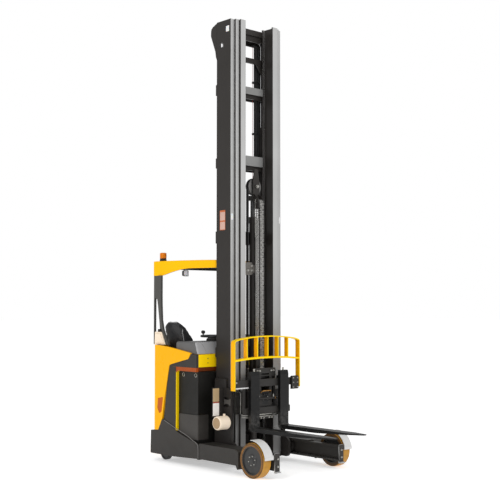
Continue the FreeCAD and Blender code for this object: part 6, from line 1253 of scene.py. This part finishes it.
# Ear plates with a bright rim in front of the inner rails, screwed to the carriage's sides.
EAR_BACK_X, EAR_FACE_X = -0.0875, -0.0795
EAR_LOW, EAR_HIGH = 0.565, 0.798
EAR_INNER, EAR_OUTER = 0.1885, 0.362
EAR_RIM = 0.284
EAR_CORNER = 0.02
ear_outline = [(EAR_INNER, EAR_LOW), (EAR_OUTER - EAR_CORNER, EAR_LOW), (EAR_OUTER, EAR_LOW + EAR_CORNER),
               (EAR_OUTER, EAR_HIGH - EAR_CORNER), (EAR_OUTER - EAR_CORNER, EAR_HIGH), (EAR_INNER, EAR_HIGH)]
rim_line = [(EAR_OUTER - 0.012, EAR_HIGH - 0.002), (EAR_RIM + 0.020, EAR_HIGH - 0.002),
            (EAR_RIM + 0.005, EAR_HIGH - 0.008), (EAR_RIM, EAR_HIGH - 0.024), (EAR_RIM, EAR_LOW)]
build("guide_ears", carriage_paint, "fork_carriage", "mast_paint",
      *((loft, [[(x, side * y, z) for y, z in ear_outline] for x in (EAR_BACK_X, EAR_FACE_X)])
        for side in (-1, 1)), smooth_angle=30.0)
build("guide_ear_rims", zinc, "fork_carriage", "chain_steel",
      *((sweep, [(EAR_FACE_X, side * y, z) for y, z in rim_line], 0.0042, 8) for side in (-1, 1)))
hex_bolts("guide_ear_bolts", [(EAR_FACE_X, side * 0.345, z) for side in (-1, 1) for z in (0.625, 0.755)],
          AHEAD, 0.017, carriage_paint, "fork_carriage", "chain_steel")

# Side-shift cylinder: bronze glands, bright hose unions and a grease nipple on the barrel.
bronze = coated_steel("bronze_bush", (0.42, 0.22, 0.07), roughness=0.30, cloud=0.15, peel=0.02, wear=0.0,
                      metal=0.9)
GLAND = [(0.0, 0.0085), (0.0, 0.0165), (0.010, 0.0165), (0.012, 0.0150), (0.012, 0.0085)]
UNION = [(0.0, 0.0075), (0.010, 0.0075), (0.010, 0.0095), (0.020, 0.0095), (0.022, 0.0060), (0.030, 0.0060),
         (0.030, 0.0)]
NIPPLE = [(0.0, 0.0045), (0.005, 0.0045), (0.006, 0.0025), (0.010, 0.0032), (0.012, 0.0)]
build("shift_cylinder_glands", bronze, "tilt_frame", "mast_paint",
      *((turn_profile, GLAND, (SHIFT_X, side * 0.1182, SHIFT_Z), (0, side, 0), 24) for side in (-1, 1)))
build("shift_cylinder_unions", zinc, "tilt_frame", "mast_paint",
      *((turn_profile, UNION, (SHIFT_X, side * 0.104, SHIFT_Z + 0.0130), UP, 12) for side in (-1, 1)),
      (turn_profile, NIPPLE, (SHIFT_X, 0.020, SHIFT_Z + 0.0136), UP, 10), smooth_angle=30.0)
hex_bolts("tilt_head_bolts", [(0.0, side * y, 1.012) for side in (-1, 1) for y in (0.118, 0.084)], AHEAD,
          0.017, zinc, "tilt_frame", "mast_paint")
hex_bolts("tilt_foot_bolts", [(0.0141, side * y, 0.5175) for side in (-1, 1) for y in (0.040, 0.078)], AHEAD,
          0.015, zinc, "tilt_frame", "mast_paint")

# Dark valve block between the fork bars, its bronze bar and the bright pipes across the frame.
PORT = [(0.0, 0.0), (0.0, 0.0115), (0.010, 0.0115), (0.012, 0.0095), (0.026, 0.0095), (0.028, 0.0)]
build("valve_block", bellows_rubber, "tilt_frame", "mast_paint",
      (block, (-0.052, -0.052, 0.640), (-0.003, 0.052, 0.788), 0.004),
      (block, (-0.060, -0.105, 0.560), (-0.006, 0.105, 0.640), 0.004),
      *((turn_profile, PORT, (-0.004, y, 0.762), AHEAD, 18) for y in (-0.030, 0.0, 0.030)))
build("bronze_pipe", bronze, "tilt_frame", "mast_paint",
      (sweep, [(-0.010, -0.066, 0.770), (0.012, -0.068, 0.790), (0.026, -0.062, 0.800),
               (0.030, -0.040, 0.802), (0.030, 0.040, 0.802), (0.026, 0.060, 0.800),
               (0.012, 0.066, 0.790), (-0.010, 0.064, 0.770)], 0.0070, 12))
CROSS_PIPE = [(-0.040, -0.300), (0.004, -0.286), (0.014, -0.270), (0.016, 0.0), (0.014, 0.150),
              (0.004, 0.166), (-0.030, 0.180)]
build("tilt_pipes", zinc, "tilt_frame", "chain_steel",
      *((sweep, [(x, y, z) for x, y in CROSS_PIPE], radius, 12)
        for z, radius in ((0.556, 0.0085), (0.534, 0.0065))),
      (sweep, [(0.004, -0.034, 0.704), (0.010, -0.030, 0.712), (0.010, 0.018, 0.712), (0.004, 0.024, 0.706)],
       0.0042, 10))

# Bright wear strip under the right end of the upper fork bar.
strip_bright = coated_steel("strip_bright", (0.70, 0.70, 0.69), roughness=0.3, wear=0.0)
build("fork_bar_wear_strip", strip_bright, "side_shift", "chain_steel",
      (block, (0.028, -0.452, 0.838), (0.0365, -0.270, 0.852), 0.002))

# Valve box at the end of the upper fork bar, with its cover screws.
BOX_BACK_X, BOX_FACE_X = 0.0345, 0.058
BOX_MIDDLE_Y, BOX_MIDDLE_Z = 0.392, 0.872
BOX_OUTLINE = [(0.342, 0.800), (0.440, 0.800), (0.444, 0.806), (0.444, 0.936), (0.438, 0.944), (0.346, 0.944),
               (0.340, 0.936), (0.340, 0.806)]
build("valve_box", carriage_paint, "side_shift", "mast_paint",
      (loft, [[(x, y + (BOX_MIDDLE_Y - y) * taper, z + (BOX_MIDDLE_Z - z) * taper) for y, z in BOX_OUTLINE]
              for x, taper in ((BOX_BACK_X, 0.0), (BOX_FACE_X, 0.04))]), smooth_angle=25.0)
hex_bolts("valve_box_screws", [(BOX_FACE_X, y, z) for y in (0.360, 0.424) for z in (0.822, 0.872, 0.922)],
          AHEAD, 0.013, zinc, "side_shift", "mast_paint")
hex_bolts("fork_bar_stops", [(0.0338, side * 0.448, 0.905) for side in (-1, 1)], AHEAD, 0.018, zinc,
          "side_shift", "mast_paint")

# ------------------------------------------------------------------- load backrest and forks
# Backrest of yellow flat bar, and two forged forks in near-black paint, worn to bright steel
# at the heel.

BACK_HALF = 0.478
BACK_X0, BACK_X1 = -0.0137, 0.0463
BAR = 0.012
CORNER = 0.034
UPRIGHTS = (-0.298, -0.150, 0.0, 0.150, 0.298)


def arch_z(y):
    """Top edge of the backrest: one long arch over its whole width."""
    return 1.386 - 0.040 * (y / BACK_HALF) ** 2


def flat_bar(shape, path, thick, inset):
    """Flat bar on edge that follows a path across the truck, its thickness laid on one side."""
    x0, x1 = BACK_X0 + inset, BACK_X1 - inset
    outlines = []
    for k, point in enumerate(path):
        along = (Vector(path[min(k + 1, len(path) - 1)]) - Vector(path[max(k - 1, 0)])).normalized()
        near = Vector(point)
        far = near + Vector((along.y, -along.x)) * thick
        outlines.append([(x, p.x, p.y) for p, x in ((near, x0), (near, x1), (far, x1), (far, x0))])
    rings = loft(shape, outlines, caps=())
    shape.faces.new(rings[0])
    shape.faces.new(rings[-1][::-1])


def round_corners(shape, radius):
    """Round the edges where two faces meet at a marked angle."""
    sharp = [edge for edge in shape.edges if edge.is_manifold and edge.calc_face_angle(0.0) > 1.0]
    bmesh.ops.bevel(shape, geom=sharp, offset=radius, segments=2, affect="EDGES")


foot_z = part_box("load_backrest")[0].z
rail_path = [(-BACK_HALF, foot_z)]
for a in (math.radians(15 * k) for k in range(7)):
    rail_path.append((-BACK_HALF + CORNER * (1 - math.cos(a)),
                      arch_z(BACK_HALF) - CORNER * (1 - math.sin(a))))
rail_path += [(y, arch_z(y)) for y in ((CORNER - BACK_HALF) * (1 - k / 12) for k in range(1, 12))]
rail_path += [(-y, z) for y, z in rail_path[::-1]]
second_rail = [(y, 1.166 - 0.026 * abs(y / BACK_HALF) ** 2.2)
               for y in ((BACK_HALF - 0.006) * (k / 12 - 1) for k in range(25))]
rest = build(
    "backrest_frame", yellow_paint, "side_shift", "yellow_paint",
    (flat_bar, rail_path, BAR, 0.0),
    (flat_bar, second_rail, 0.020, 0.001),
    *((flat_bar, [(y - BAR / 2, 1.150 - 0.02 * abs(y)), (y - BAR / 2, arch_z(y) - 0.006)], BAR, 0.004)
      for y in UPRIGHTS),
    *((block, (BACK_X0 + 0.002, side * 0.416, 0.838), (-0.0004, side * (BACK_HALF - 0.004), 0.922), 0.002)
      for side in (-1, 1)),
    (round_corners, 0.0012), smooth_angle=30.0)
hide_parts("load_backrest")
# The bars' front, top and bottom faces and the welds take the lit copy of the yellow as a painted highlight;
# the bars' sides keep the plain yellow.
recoat(rest.data, lit_yellow_paint, lambda middle, normal: normal.x > 0.7 or abs(normal.z) > 0.7)
build("backrest_welds", lit_yellow_paint, "side_shift", "yellow_paint",
      *((weld_bead, (-0.006, y + lean, arch_z(y) - 0.0130), (0.038, y + lean, arch_z(y) - 0.0130), 0.0022)
        for y in UPRIGHTS for lean in (-0.0068, 0.0068)), smooth_angle=60.0)


def fork_finish():
    """Black paint that rubs through to bright steel low on the upright, close to the heel."""
    material = coated_steel("fork_steel", (0.0050, 0.0050, 0.0050), roughness=0.36, cloud=0.2, wear=0.6,
                            bare=(0.34, 0.33, 0.31))
    look = Finish(material)
    heel = look.spread(look.axis("Z"), 0.62, 0.42, 0.0, 1.0)
    near = look.spread(look.axis("X"), 0.16, 0.06, 0.0, 1.0)
    patches = look.spread(look.noise(24.0, 8.0, 0.7), 0.42, 0.60, 0.0, 0.30)
    worn = look.times(look.times(heel, near), patches)
    look.coat({"Base Color": look.mix(worn, look.coated_with(), (0.30, 0.29, 0.275))})
    return material


dress(fork_finish(), "fork_right", "fork_left")
LOCK_PIN = [(0.0, 0.0105), (0.010, 0.0105), (0.012, 0.0085), (0.018, 0.0085), (0.020, 0.0120),
            (0.027, 0.0110), (0.029, 0.0)]
for side, side_name in SIDES:
    build("fork_lock_pin_" + side_name, zinc, "side_shift", "fork_steel",
          (turn_profile, LOCK_PIN, (0.052, side * 0.212, 1.0142), UP, 20))
